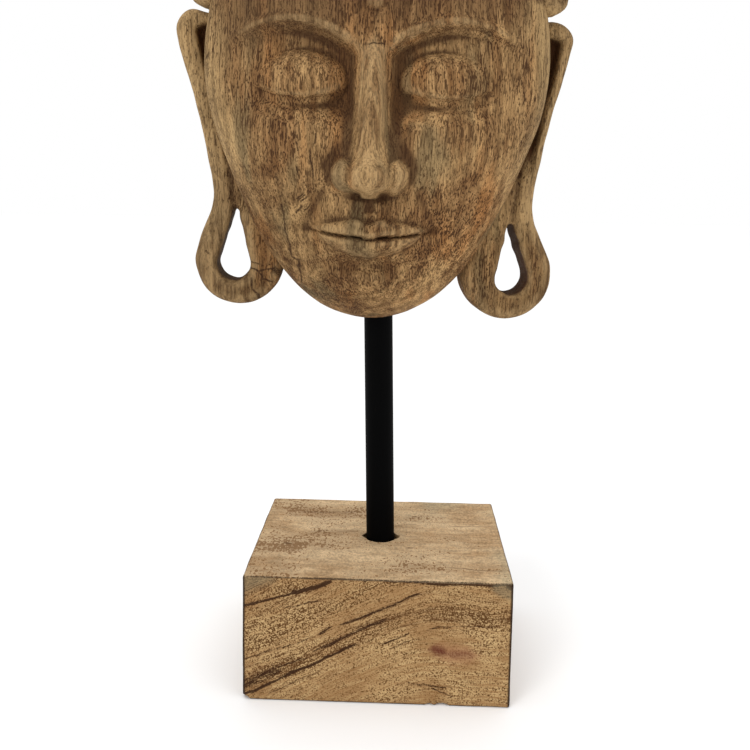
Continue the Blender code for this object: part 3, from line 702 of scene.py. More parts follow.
def ear_depths(flat, outline, hole, channel, side):
    """Depths of the plate's front and back at its points, seen from the front."""
    from_edge = inside_by(flat, outline)
    from_hole = -inside_by(flat, hole)
    in_channel = inside_by(flat, channel)
    front = EAR_Y + quarter_round(from_edge, EAR_EDGE)
    front += quarter_round(from_hole, HOLE_EDGE - HOLE_EDGE_UNEVEN * side)
    sunk = quarter_round(np.maximum(-in_channel, 0.0), CHANNEL_EDGE)
    sunk += (CHANNEL_DEPTH - CHANNEL_EDGE) * step(-0.0006, 0.0014, in_channel)
    front += sunk * (0.12 + 0.88 * step(CHANNEL_BOTTOM_AT + 0.006, CHANNEL_BOTTOM_AT + 0.040, flat[:, 1]))
    front += FOLD_DEPTH * bell(line_gap(flat, *FOLD_LINE), 0.0015)
    back = EAR_Y + EAR_THICKNESS - quarter_round(from_edge, EAR_EDGE) - quarter_round(from_hole, HOLE_EDGE)
    return front, back


def make_ear(name, side, seed):
    """One ear: a plate whose front and back are depths worked out from the distances to three lines.

    Both fall back in quarter rounds near the outline and the hole. The front also rounds over and
    sinks at the channel, and a shallow fold runs on from there to the hole. Points lie in rows
    beside the lines and on an even net between them; short walls join front and back.
    """
    outline, hole, channel = ear_lines(side)
    outline = ragged(outline, 0.00035, 0.009, seed, seed)
    hole = ragged(hole, 0.0005, 0.005, seed, seed + 1)
    flat, triangles = filled(ear_points(outline, hole, channel), (outline, hole))
    depth, back = ear_depths(flat, outline, hole, channel, side)
    lines = len(outline) + len(hole)
    shares = np.linspace(0.0, 1.0, 8)[1:-1, None]
    levels = depth[:lines] + shares * (back[:lines] - depth[:lines])
    across = np.concatenate([flat[:, 0], np.tile(flat[:lines, 0], len(levels)), flat[:, 0]])
    up = np.concatenate([flat[:, 1], np.tile(flat[:lines, 1], len(levels)), flat[:, 1]])
    deep = np.concatenate([depth, levels.ravel(), back])
    points = np.stack([side * across + EAR_SLANT * (deep - EAR_Y), deep, up], axis=1)
    last = len(flat) + levels.size
    starts = [0] + [len(flat) + row * lines for row in range(len(levels))] + [last]
    faces = [triangles, last + triangles]
    for first, count in ((0, len(outline)), (len(outline), len(hole))):
        ring = first + np.arange(count + 1) % count
        faces.append(quads(np.stack([start + ring for start in starts])))
    return make_piece(name, points, faces, ear_place(side))


# Hair

def hair_line_point(angle, distance):
    """Point at a distance over the head from the hairline towards the back, and how far it may go."""
    shares = np.linspace(0.0, 1.0, LINE_STEPS)
    front = dome(np.full_like(shares, angle), shares)
    hair = front[:, 2] >= hairline(front[:, 0])
    hair[-1] = True
    front = front[hair]
    wall = np.repeat(front[-1:], WALL_STEPS, axis=0)
    wall[:, 1] = np.linspace(RIM_Y, BACK_Y, WALL_STEPS)
    path = np.concatenate([front, wall[1:]])
    lengths = lengths_along(path)
    return Vector([float(np.interp(distance, lengths, column)) for column in path.T]), lengths[-1]


def curl_places():
    """Rows of curls beside the hairline, each row half a curl out of step with the last."""
    places = []
    centre = Vector((0.0, BACK_Y, WIDEST_AT))
    lowest = math.atan2(EAR_TOP_AT + EAR_TOP_RADIUS + CURL_ABOVE_EAR - WIDEST_AT, HEAD_WIDTH / 2.0)
    for row in range(CURL_ROWS):
        distance = CURL_FIRST_ROW + row * CURL_ROW_PITCH
        fine = np.linspace(lowest, math.pi / 2.0, ROW_STEPS)
        line = [hair_line_point(angle, distance)[0] for angle in fine]
        lengths = np.concatenate([[0.0], np.cumsum([(b - a).length for a, b in zip(line, line[1:])])])
        start = 0.5 * CURL_PITCH if row % 2 else 0.0
        for back in np.arange(start, lengths[-1], CURL_PITCH):
            angle = float(np.interp(lengths[-1] - back, lengths, fine))
            point, reach = hair_line_point(angle, distance)
            if distance > reach - CURL_RADIUS / 4.0:
                continue
            normal = point - centre
            normal.y *= CURL_TURN_BACK
            normal.normalize()
            point += CURL_LIFT * normal
            for side in [1.0] if abs(point.x) < CURL_PITCH / 4.0 else [1.0, -1.0]:
                mirror = Vector((side, 1.0, 1.0))
                places.append((mirror * point, mirror * normal))
    return places


def topknot_places():
    """Rings of curls round the topknot and one on its top."""
    places = []
    for level, count in ((math.radians(degrees), count) for degrees, count in TOPKNOT_RINGS):
        for place in range(count):
            bearing = math.pi * (1.0 + (place + 0.5) / count)
            flat = math.cos(level)
            direction = Vector((flat * math.cos(bearing), flat * math.sin(bearing), math.sin(level)))
            places.append((TOPKNOT_CENTRE + TOPKNOT_HALF * direction, direction))
    top = Vector((0.0, 0.0, 1.0))
    places.append((TOPKNOT_CENTRE + TOPKNOT_HALF * top, top))
    return places


def curl_surface(hand):
    """Snail-shell curl: a flattened ball with a groove that winds in from its edge to its middle.

    The groove is deepest where the turn in whole circles plus 2.1 times the radius share is a whole
    number; hand winds it left or right.
    """
    polar = np.concatenate([[0.0], np.linspace(0.16, 1.75, 11), [2.3, math.pi]])
    around = full_turn(28)
    radius = np.sin(polar)[:, None] * np.ones(len(around))
    phase = around / (2.0 * math.pi) + 2.1 * radius
    groove = (0.5 + 0.5 * np.cos(2.0 * math.pi * phase)) ** 2.0
    upper = step(0.08, 0.30, radius) * (np.cos(polar)[:, None] > -0.2)
    keep = 1.0 - 0.17 * groove * upper
    across = CURL_RADIUS * radius * keep
    rise = CURL_HEIGHT * np.cos(polar)[:, None] * (1.0 - 0.22 * groove * upper)
    return np.stack([across * np.cos(around) * hand, across * np.sin(around), rise], axis=-1)


def make_hair():
    """Topknot and curls, each turned a little differently."""
    angles = np.linspace(0.0, math.pi, 14)
    knot = turned(np.stack([np.sin(angles), np.cos(angles)], axis=1), 28) * np.array(TOPKNOT_HALF)
    pieces = [turned_piece("topknot", knot, HEAD_PLACE @ Matrix.Translation(TOPKNOT_CENTRE))]
    chance = np.random.default_rng(11)
    for number, (point, normal) in enumerate(curl_places() + topknot_places()):
        hand = 1.0 if point.x >= 0.0 else -1.0
        spin = Matrix.Rotation(hand * chance.uniform(0.0, 0.9), 4, "Z")
        turn = normal.to_track_quat("Z", "Y").to_matrix().to_4x4()
        size = Matrix.Scale(chance.uniform(0.96, 1.03), 4)
        place = HEAD_PLACE @ Matrix.Translation(point) @ turn @ spin @ size
        pieces.append(turned_piece(f"curl_{number}", curl_surface(hand), place))
    return pieces


# Cuts

def make_hollow():
    """Bowl cut from the back: an ellipsoid with rows of shallow gouge scallops."""
    polar = np.linspace(0.0, math.pi, 40)[:, None]
    around = full_turn(80)[None]
    row = polar * 18.0 / math.pi
    across = around * 22.0 / (2.0 * math.pi) + 0.5 * (np.floor(row) % 2)
    scallop = np.abs(np.sin(math.pi * row)) ** 0.7 * np.abs(np.sin(math.pi * across)) ** 0.7
    forward = -np.cos(polar) * np.ones_like(around)
    ball = np.stack([np.sin(polar) * np.cos(around), forward, np.sin(polar) * np.sin(around)], axis=-1)
    ball *= (1.0 + 0.010 * scallop * np.sin(polar))[..., None]
    ball *= (HOLLOW_WIDTH / 2.0, HOLLOW_DEPTH + PAST, HOLLOW_HEIGHT / 2.0)
    return turned_piece("hollow", ball, HEAD_PLACE @ Matrix.Translation((0.0, BACK_Y + PAST, HOLLOW_AT)))


def make_flat_back():
    """Everything behind the back plane, whose sawn face waves by a fraction of a millimetre."""
    across, up = np.meshgrid(np.linspace(-0.125, 0.125, 50), np.linspace(-0.02, 0.30, 64))
    sheet = np.stack([across, np.full_like(across, BACK_Y), up], axis=-1)
    sheet[..., 1] -= 0.00015 * (1.0 + soft_noise(sheet, 0.02, 5))
    return sheet_solid("behind", sheet, [BACK_Y + 0.08], HEAD_PLACE)


def make_chin_hole():
    """Drilled hole for the rod, from below the chin to the rod's top end."""
    heights = np.linspace(ROD_SHOWN - 0.006, ROD_SHOWN + ROD_IN_MASK + END_GAP, 30)
    return turned_piece("chin_hole", turned(bar_profile(CHIN_HOLE_RADIUS, heights), 48), ROD_PLACE)


def point_arrays(mesh):
    """Places and normals of a mesh's points."""
    arrays = np.empty((2, len(mesh.vertices) * 3))
    for values, name in zip(arrays, ("co", "normal")):
        mesh.vertices.foreach_get(name, values)
    return arrays.reshape(2, -1, 3)


def recess_and_wear(mesh):
    """Two values per point: how deep it lies in a hollow, and how much it stands out on an edge.

    The surface is averaged over its neighbours again and again. Where the averaged surface lies
    outside the real one the point is in a hollow, and where it lies inside the point is on an edge.
    Both values are 1 from about 0.6 mm on, and a broad hollow 4 mm deep adds 0.35 to the first.
    The finish darkens by the first, partly as staining and partly as painted shade.
    """
    place, normal = point_arrays(mesh)
    ends = np.empty(len(mesh.edges) * 2, dtype=np.int32)
    mesh.edges.foreach_get("vertices", ends)
    ends = ends.reshape(-1, 2)
    count = len(place)
    links = np.bincount(ends.ravel(), minlength=count)[:, None]

    def averaged(values):
        """Mean of each point's neighbours along the mesh's edges."""
        one, other = ends.T
        sums = []
        for column in values.T:
            sums.append(np.bincount(one, column[other], count) + np.bincount(other, column[one], count))
        return np.stack(sums, axis=1) / links

    surface = place
    for turn in range(AVERAGING_TURNS):
        surface = 0.4 * surface + 0.6 * averaged(surface)
        if turn + 1 == FINE_TURNS:
            fine = ((surface - place) * normal).sum(axis=1)
    broad = ((surface - place) * normal).sum(axis=1)
    recess = np.clip(fine / 0.0005 - 0.3, 0.0, 1.0) + 0.35 * np.clip(broad / 0.0040, 0.0, 1.0)
    wear = np.clip(-fine / 0.00045 - 0.35, 0.0, 1.0)
    values = np.stack([np.clip(recess, 0.0, 1.0), wear], axis=1)
    values = 0.5 * values + 0.5 * averaged(values)
    return {"recess": values[:, 0], "wear": values[:, 1]}


def channel_stain_and_shade(mesh):
    """Darkening, partly staining and partly painted shade: 1 in the ears' sunken channels, a little inside
    the lobes' holes, more on +X than on -X, 0 on the rest.
    """
    place = np.array([*point_arrays(mesh)[0].T, np.ones(len(mesh.vertices))])
    stain_and_shade = np.zeros(len(mesh.vertices))
    for side in (1.0, -1.0):
        local = (np.array(ear_place(side).inverted()) @ place)[:3].T
        deep = local[:, 1] - EAR_Y
        flat = np.stack([side * (local[:, 0] - EAR_SLANT * deep), local[:, 2]], axis=1)
        near = (flat[:, 0] > EAR_INNER) & (flat[:, 1] < EAR_TOP_AT + 0.015) & (deep < EAR_THICKNESS + 0.001)
        _, hole, channel = ear_lines(side)
        flat, deep = flat[near], deep[near]
        sunk = step(-0.0012, 0.0008, inside_by(flat, channel)) * step(0.0006, 0.0042, deep)
        bored = (1.0 - step(0.0006, 0.0016, np.abs(inside_by(flat, hole)))) * step(0.0012, 0.0050, deep)
        # Painted shade in the lobes' holes is stronger on +X than on -X
        stain_and_shade[near] = np.maximum(stain_and_shade[near], np.maximum(sunk, (0.70 + 0.20 * side) * bored))
    return stain_and_shade


def wobbled(mesh):
    """Knife work: every point moves along its normal by two sizes of soft noise."""
    place, normal = point_arrays(mesh)
    rise = 0.00028 * soft_noise(place, 0.016, 21) + 0.00012 * soft_noise(place, 0.006, 22)
    mesh.vertices.foreach_set("co", (place + normal * rise[:, None]).ravel())
    mesh.update()


def make_mask():
    """Head, ears and hair joined, hollowed and drilled, with the values that its finish reads."""
    mask = make_head()
    ears = [make_ear("left_ear", 1.0, 31), make_ear("right_ear", -1.0, 41)]
    joined(mask, ears + make_hair(), "UNION")
    joined(mask, [make_flat_back(), make_hollow(), make_chin_hole()], "DIFFERENCE")
    wobbled(mask.data)
    for name, values in {**recess_and_wear(mask.data), "stain_and_shade": channel_stain_and_shade(mask.data)}.items():
        mask.data.attributes.new(name, "FLOAT", "POINT").data.foreach_set("value", values)
    mask.data.shade_smooth()
    mask.data.set_sharp_from_angle(angle=SHARP_ANGLE)
    return mask


# Rod and block

def make_rod():
    """Coated bar: a straight profile with rounded ends, turned about the leaning axis."""
    low, high, edge = -ROD_IN_BLOCK, ROD_SHOWN + ROD_IN_MASK, 0.0008
    turn = np.linspace(0.0, math.pi / 2.0, 5)
    foot = np.stack([ROD_RADIUS - edge + edge * np.sin(turn), low + edge - edge * np.cos(turn)], axis=1)
    head = np.stack([foot[::-1, 0], high + low - foot[::-1, 1]], axis=1)
    body = np.stack([np.full(40, ROD_RADIUS), np.linspace(foot[-1, 1], head[0, 1], 42)[1:-1]], axis=1)
    profile = np.concatenate([[(0.0, low)], foot, body, head, [(0.0, high)]])
    rod = turned_piece("rod_bar", turned(profile, 64), ROD_PLACE)
    rod.data.set_sharp_from_angle(angle=SHARP_ANGLE)
    return rod


def block_grid(count, half, edge):
    """Positions across one side of the block, close together within three edge widths of its ends."""
    inner = np.linspace(-half + 3.0 * edge, half - 3.0 * edge, count)
    near = np.array([1.0, 0.86, 0.70, 0.52, 0.34, 0.17]) * 3.0 * edge
    return np.concatenate([-half + 3.0 * edge - near, inner, half - 3.0 * edge + near[::-1]])


def make_block():
    """Rounded box: each point of a plain box is pulled onto a ball of the edge's radius.

    The ball sits on the nearest point of a smaller box. The radius wanders along the edges, the
    edges are slightly rough, and three chips are broken out of the lower front edge.
    """
    half = np.array([BLOCK_WIDTH, BLOCK_DEPTH, BLOCK_HEIGHT]) / 2.0
    points, faces, first = [], [], 0
    for axis in range(3):
        for side in (-1.0, 1.0):
            others = [other for other in range(3) if other != axis]
            lines = [block_grid(int(half[other] / BLOCK_SPACING), half[other], 0.0016) for other in others]
            grid = np.meshgrid(*lines, indexing="ij")
            sheet = np.empty(grid[0].shape + (3,))
            sheet[..., axis] = side * half[axis]
            sheet[..., others[0]], sheet[..., others[1]] = grid
            points.append(sheet.reshape(-1, 3))
            faces.append(first + grid_faces(*grid[0].shape))
            first += grid[0].size
    points = np.concatenate(points)
    radius = (0.0013 + 0.0005 * soft_noise(points, 0.012, 51))[:, None]
    inner = np.clip(points, -half + radius, half - radius)
    away = points - inner
    length = np.maximum(np.linalg.norm(away, axis=1, keepdims=True), 1e-9)
    points = inner + away / length * np.minimum(radius, np.abs(away).max(axis=1, keepdims=True))
    chips = 0.0
    for across, reach, bite in CHIPS:
        gap = np.hypot(points[:, 0] - across, 0.8 * np.hypot(points[:, 1] + half[1], points[:, 2] + half[2]))
        chips = chips + bite * (1.0 - step(0.3 * reach, reach, gap))
    points[:, 1] += chips
    points[:, 2] += 1.4 * chips
    points += 0.00010 * soft_noise(points, 0.010, 52)[:, None] * away / length
    points[:, 2] = np.maximum(points[:, 2] + half[2], 0.0)
    block = make_piece("block_wood_piece", points, faces)
    joined(block, [make_block_hole()], "DIFFERENCE")
    block.data.shade_smooth()
    block.data.set_sharp_from_angle(angle=SHARP_ANGLE)
    return block


def make_block_hole():
    """Hole drilled by hand: a cylinder wider than the rod, torn wider at both sides near the top."""
    heights = np.linspace(-ROD_IN_BLOCK - END_GAP, PAST, 40)
    surface = turned(bar_profile(BLOCK_HOLE_RADIUS, heights), 72)
    angle = np.arctan2(surface[..., 1], surface[..., 0])
    near_top = step(-0.006, 0.0, surface[..., 2])
    torn = 0.0016 * bell(np.abs(angle) - math.pi, 0.28) + 0.0019 * bell(angle + 0.05, 0.24)
    rough = 0.00045 * soft_noise(surface, 0.0022, 61) * (surface[..., 2] > heights[0])
    factor = 1.0 + (near_top * torn + rough) / BLOCK_HOLE_RADIUS
    surface[..., :2] *= factor[..., None]
    return turned_piece("block_hole", surface, ROD_PLACE)


# Finishes

class Nodes:
    """Adds and links shader nodes: each call makes one node, or a few, and returns one output."""

    def __init__(self, name):
        self.material = bpy.data.materials.new(name)
        self.material.use_nodes = True
        self.tree = self.material.node_tree
        self.shader = self.tree.nodes["Principled BSDF"]
        self.place = self.add("ShaderNodeTexCoord").node.outputs["Object"]

    def add(self, kind, inputs=None, output=0, **settings):
        """New node of a kind, with its settings made and its inputs put in."""
        node = self.tree.nodes.new(kind)
        for key, value in settings.items():
            setattr(node, key, value)
        for key, value in (inputs or {}).items():
            self.put(node.inputs[key], value)
        return node.outputs[output]

    def put(self, socket, value):
        """Links an output to an input, or sets the input to a number, a vector or a colour."""
        if isinstance(value, bpy.types.NodeSocket):
            self.tree.links.new(value, socket)
        elif socket.type == "RGBA":
            socket.default_value = (*value, 1.0)
        else:
            socket.default_value = value

    def math(self, operation, *values, clamp=False):
        """One sum on numbers."""
        return self.add("ShaderNodeMath", dict(enumerate(values)), operation=operation, use_clamp=clamp)

    def total(self, *values):
        """Sum of values, each given as (value, factor) or as a plain value."""
        whole = None
        for value in values:
            if isinstance(value, tuple):
                value = self.math("MULTIPLY", *value)
            whole = value if whole is None else self.math("ADD", whole, value)
        return whole

    def times(self, whole, *values):
        """Product of values."""
        for value in values:
            whole = self.math("MULTIPLY", whole, value)
        return whole

    def centred(self, noise):
        """Noise about 0 instead of 0.5."""
        return self.math("ADD", noise, -0.5)

    def vector(self, operation, *values, output=0):
        """One sum on vectors."""
        return self.add("ShaderNodeVectorMath", dict(enumerate(values)), output, operation=operation)

    def scaled(self, place, scale):
        """Place multiplied by a factor along each axis."""
        return self.vector("MULTIPLY", place, scale)

    def swayed(self, place, *pushes):
        """Place pushed to and fro by soft noises of (scale, reach), up to half the reach each way."""
        for scale, reach in pushes:
            push = self.add("ShaderNodeTexNoise", {"Vector": place, "Scale": scale, "Detail": 1.0}, 1)
            push = self.vector("SUBTRACT", push, (0.5, 0.5, 0.5))
            place = self.vector("ADD", place, self.scaled(push, (reach, reach, reach)))
        return place

    def noise(self, place, scale, detail=2.0, roughness=0.5, shift=None):
        """Noise in the place, shifted or not; the scale is one number or one for each axis."""
        if shift:
            place = self.vector("ADD", place, shift)
        if isinstance(scale, tuple):
            place, scale = self.scaled(place, scale), 1.0
        inputs = {"Vector": place, "Scale": scale, "Detail": detail, "Roughness": roughness}
        return self.add("ShaderNodeTexNoise", inputs)

    def line_noise(self, value, scale, detail, roughness):
        """Noise along one number."""
        inputs = {"W": value, "Scale": scale, "Detail": detail, "Roughness": roughness}
        return self.add("ShaderNodeTexNoise", inputs, noise_dimensions="1D")

    def spread(self, value, low, high, to_low=0.0, to_high=1.0):
        """Value taken smoothly from one range to another, held at its ends."""
        inputs = {0: value, 1: low, 2: high, 3: to_low, 4: to_high}
        return self.add("ShaderNodeMapRange", inputs, interpolation_type="SMOOTHSTEP")

    def blend(self, share, first, second, how="MIX"):
        """First colour going over to the second as the share goes from 0 to 1."""
        inputs = {0: share, 6: first, 7: second}
        return self.add("ShaderNodeMix", inputs, 2, data_type="RGBA", blend_type=how)

    def tinted(self, colour, tint, *shares):
        """Colour drawn towards a tint by the product of the shares."""
        return self.blend(self.times(*shares), colour, tint)

    def shaded(self, colour, factor):
        """Colour times a number."""
        grey = self.add("ShaderNodeCombineColor", {0: factor, 1: factor, 2: factor})
        return self.blend(1.0, colour, grey, "MULTIPLY")

    def varied(self, colour, value, low, high, at_low, at_high):
        """Colour times a number that goes from one factor to another as the value goes from low to high."""
        return self.shaded(colour, self.spread(value, low, high, at_low, at_high))

    def named(self, name):
        """Value that the mesh carries at each point."""
        return self.add("ShaderNodeAttribute", output=2, attribute_name=name)

    def parts(self, place):
        """X, Y and Z of a place."""
        return tuple(self.add("ShaderNodeSeparateXYZ", {0: place}).node.outputs)

    def crack(self, place, points, width):
        """1 on a line through points (x, z) seen from the front, falling to 0 at its half width."""
        nearest = None
        flat = self.scaled(place, (1.0, 0.0, 1.0))
        for first, second in zip(points, points[1:]):
            start = Vector((first[0], 0.0, first[1]))
            along = Vector((second[0], 0.0, second[1])) - start
            offset = self.vector("SUBTRACT", flat, start)
            dot = self.vector("DOT_PRODUCT", offset, along, output=1)
            share = self.math("DIVIDE", dot, along.length_squared, clamp=True)
            reach = self.add("ShaderNodeVectorMath", {0: along, "Scale": share}, operation="SCALE")
            gap = self.vector("DISTANCE", offset, reach, output=1)
            nearest = gap if nearest is None else self.math("MINIMUM", nearest, gap)
        return self.spread(nearest, 0.3 * width, width, 1.0, 0.0)

    def curve(self, across, up, points, width):
        """1 on a smooth curve through points (across, up), 0 at its half width and past its ends.

        The curve node's 0 to 1 stand for heights from minus to plus half of CURVE_SPAN. The line
        narrows over its last four half widths, or over a quarter of its length if that is less.
        """
        first, last = points[0][0], points[-1][0]
        share = self.add("ShaderNodeMapRange", {0: across, 1: first, 2: last})
        node = self.add("ShaderNodeFloatCurve", {"Value": share}).node
        node.mapping.use_clip = False
        knots = node.mapping.curves[0].points
        for place, (at, height) in enumerate(points):
            knot = knots[place] if place < 2 else knots.new(0.0, 0.0)
            knot.location = ((at - first) / (last - first), height / CURVE_SPAN + 0.5)
        node.mapping.update()
        height = self.math("MULTIPLY_ADD", node.outputs[0], CURVE_SPAN, -CURVE_SPAN / 2.0)
        gap = self.math("ABSOLUTE", self.math("SUBTRACT", up, height))
        half = abs(last - first) / 2.0
        from_middle = self.math("ABSOLUTE", self.math("SUBTRACT", across, (first + last) / 2.0))
        beyond = self.math("SUBTRACT", from_middle, half)
        ends = self.spread(beyond, -min(4.0 * width, 0.5 * half), width, 0.0, width)
        return self.spread(self.math("ADD", gap, ends), 0.0, width, 1.0, 0.0)

    def finish(self, colour, roughness, specular, height=None, strength=0.5, distance=0.0004):
        """Colour, roughness and bump put into the shader."""
        self.put(self.shader.inputs["Base Color"], colour)
        self.put(self.shader.inputs["Roughness"], roughness)
        self.shader.inputs["Specular IOR Level"].default_value = specular
        if height:
            bump = self.add("ShaderNodeBump", {"Strength": strength, "Distance": distance, "Height": height})
            self.put(self.shader.inputs["Normal"], bump)
        return self.material


def mask_cracks(nodes):
    """Splits, scratches and nicks in the mask's front: 1 in them, 0 beside them."""
    place = nodes.swayed(nodes.place, (120.0, 0.0022), (450.0, 0.0012))
    deepest = 0.0
    for width, points in CRACKS:
        deepest = nodes.math("MAXIMUM", deepest, nodes.crack(place, points, width))
    return nodes.times(deepest, nodes.spread(nodes.parts(place)[1], -0.004, -0.001, 1.0, 0.0))


def mask_finish():
    """Brown open-grained wood.

    Tan, brown, grey and orange streaks along the fibres, fine light and dark fibres, short dark
    pores, growth rings, cracks, darkening in the hollows, ear channels and lobe holes that is partly
    staining and partly painted shade, and worn edges. Here and in the block's finishes, ranges of x,
    y and z are in metres, ranges of noise are its levels from 0 to 1 or their sums, and the scale of
    a noise is its waves in a metre, along X, Y and Z.
    """
    nodes = Nodes("carved wood, brown stain")
    x, _, z = nodes.parts(nodes.place)
    grain = nodes.swayed(nodes.place, (14.0, 0.008), (60.0, 0.0016))
    patch = nodes.noise(grain, (38.0, 38.0, 15.0), 3.0, 0.6)
    streak = nodes.noise(grain, (240.0, 240.0, 9.0), 3.0, 0.6)
    fibre = nodes.noise(grain, (1150.0, 1150.0, 40.0), 2.0, 0.6)
    grit = nodes.noise(nodes.place, 1500.0, 2.0, 0.7)

    # Growth rings about an upright axis behind the mask, and the ground colours
    flattened = nodes.scaled(grain, (1.0, 1.0, 0.10))
    from_axis = nodes.vector("DISTANCE", flattened, (0.015, 0.065, 0.0), output=1)
    ring = nodes.line_noise(from_axis, 330.0, 2.0, 0.6)
    tone = nodes.total((patch, 1.5), (streak, 0.9), (ring, 0.4))
    colour = nodes.blend(nodes.spread(tone, 1.05, 1.78), BROWN, TAN)
    orange = nodes.spread(nodes.noise(grain, (70.0, 70.0, 10.0)), 0.54, 0.70, 0.0, 0.46)
    colour = nodes.blend(orange, colour, ORANGE)
    grey = nodes.noise(grain, (55.0, 55.0, 12.0), 3.0, shift=(0.7, 0.3, 0.2))
    colour = nodes.blend(nodes.spread(grey, 0.53, 0.68, 0.0, 0.65), colour, GREY_BROWN)

    # Pale ear straps, dark brow and curls, dim lobes that are darker on +X as painted shade, and a jaw that
    # is darker on -X
    across = nodes.math("ABSOLUTE", nodes.math("ADD", x, 0.006))
    outer = nodes.spread(nodes.total(across, (patch, 0.03)), 0.078, 0.100)
    strap = nodes.times(outer, nodes.spread(z, 0.232, 0.256))
    colour = nodes.tinted(colour, PALE_STRAP, strap, 0.60)
    brow = nodes.spread(nodes.total(z, (patch, 0.05), (x, -0.12)), 0.356, 0.382)
    colour = nodes.tinted(colour, DARK_BROW, brow, nodes.math("SUBTRACT", 1.0, outer), 0.72)
    curls = nodes.spread(nodes.total(z, (x, 0.028)), 0.3625, 0.3655)
    colour = nodes.tinted(colour, DARK_BROW, curls, outer, 0.55)
    # Painted shade: the lobes are darkened, and more on +X, where less light falls
    lobe = nodes.spread(nodes.total(across, (z, -0.25)), 0.002, 0.014)
    lobe = nodes.times(lobe, nodes.spread(z, 0.236, 0.262, 1.0, 0.0))
    colour = nodes.varied(colour, lobe, 0.0, 1.0, 1.0, nodes.spread(x, -0.03, 0.03, 0.67, 0.54))
    jaw = nodes.spread(nodes.total((x, 0.8), (nodes.centred(patch), 0.03)), -0.045, 0.045, 0.76, 1.16)
    below = nodes.spread(z, 0.250, 0.290, 1.0, 0.0)
    colour = nodes.shaded(colour, nodes.total(1.0, (below, nodes.math("SUBTRACT", jaw, 1.0))))

    # Fibres, and pores that are fewer in the calm patches, the straps and the light rings
    colour = nodes.varied(colour, fibre, 0.30, 0.70, 0.76, 1.20)
    colour = nodes.varied(colour, streak, 0.34, 0.66, 0.80, 1.16)
    colour = nodes.varied(colour, grit, 0.25, 0.75, 0.86, 1.14)
    calm = nodes.spread(nodes.noise(grain, (34.0, 34.0, 14.0), shift=(0.1, 0.6, 0.9)), 0.40, 0.62)
    low = nodes.spread(z, 0.215, 0.250, 1.0, 0.0)
    ringed = nodes.spread(nodes.total(ring, patch), 0.80, 1.20)
    crowd = nodes.total((ringed, -0.045), (calm, -0.034), (strap, -0.025), 0.064)
    long_pores = nodes.noise(grain, (1500.0, 1500.0, 135.0), 1.0, shift=(0.2, 0.9, 0.4))
    long_pores = nodes.spread(nodes.total(long_pores, crowd), 0.610, 0.670)
    short_pores = nodes.noise(grain, (1700.0, 1700.0, 420.0), 1.0, shift=(0.5, 0.1, 0.8))
    short_pores = nodes.spread(nodes.total(short_pores, crowd, (low, 0.020)), 0.615, 0.680)
    pores = nodes.math("MAXIMUM", long_pores, short_pores)
    colour = nodes.tinted(colour, PORE, pores, nodes.spread(patch, 0.35, 0.65, 0.92, 0.62))

    # Worn edges; hollows, ear channels and lobe holes darkened partly as staining and partly as painted
    # shade; and cracks
    worn = nodes.spread(nodes.named("wear"), 0.10, 0.90)
    colour = nodes.tinted(colour, RUBBED, worn, nodes.spread(streak, 0.35, 0.65, 0.10, 0.50))
    uneven = nodes.total(fibre, streak, -1.0)
    # Painted shade, with some staining, darkens the hollows
    crevice_stain_and_shade = nodes.spread(nodes.total(nodes.named("recess"), (uneven, 0.5)), 0.12, 1.0, 0.0, 0.78)
    colour = nodes.blend(crevice_stain_and_shade, colour, CREVICE_STAIN_AND_SHADE)
    # Painted shade, with some staining, darkens the ear channels and the lobe-hole walls
    stain_and_shade = nodes.spread(nodes.total(nodes.named("stain_and_shade"), (uneven, 0.8)), 0.10, 0.95, 0.0, 0.82)
    colour = nodes.blend(stain_and_shade, colour, CHANNEL_STAIN_AND_SHADE)
    cracks = nodes.times(mask_cracks(nodes), nodes.spread(grit, 0.32, 0.60, 0.45, 1.0))
    colour = nodes.tinted(colour, SPLIT, cracks, 0.90)
    height = nodes.total((fibre, 0.5), (pores, -1.0), (streak, 0.4), (grit, 0.35))
    return nodes.finish(colour, nodes.spread(fibre, 0.3, 0.7, 0.85, 0.70), 0.08, height, 0.75, 0.0004)


def edge_gaps(nodes):
    """Distances of a point on the block's surface to the nearest edge and to the nearest upright edge.

    Of the point's distances to the nearest side, end and top or bottom, the first is the middle
    one, and the second the larger of the first two.
    """
    x, y, z = nodes.parts(nodes.place)
    side = nodes.math("SUBTRACT", BLOCK_WIDTH / 2.0, nodes.math("ABSOLUTE", x))
    end = nodes.math("SUBTRACT", BLOCK_DEPTH / 2.0, nodes.math("ABSOLUTE", y))
    level = nodes.math("MINIMUM", z, nodes.math("SUBTRACT", BLOCK_HEIGHT, z))
    low = nodes.math("MINIMUM", nodes.math("MINIMUM", side, end), level)
    upright = nodes.math("MAXIMUM", side, end)
    return nodes.total(side, end, level, (low, -1.0), (nodes.math("MAXIMUM", upright, level), -1.0)), upright


def band_ramp(nodes, level, stops):
    """Value that changes with the height of the wood's layers, from (height in mm, value) stops."""
    ramp_node = nodes.add("ShaderNodeValToRGB", {0: nodes.times(level, 10.0)}, 1).node
    ramp = ramp_node.color_ramp
    for place, (at, value) in enumerate(stops):
        element = ramp.elements[place] if place < 2 else ramp.elements.new(at / 100.0)
        element.position = at / 100.0
        element.color = (value, value, value, value)
    return ramp_node.outputs[1]


def drawn_lines(nodes, across, up, lines):
    """The strongest of several curved lines, each given as (half width, strength, points)."""
    strongest = 0.0
    for width, strength, points in lines:
        line = nodes.times(nodes.curve(across, up, points, width), strength)
        strongest = nodes.math("MAXIMUM", strongest, line)
    return strongest


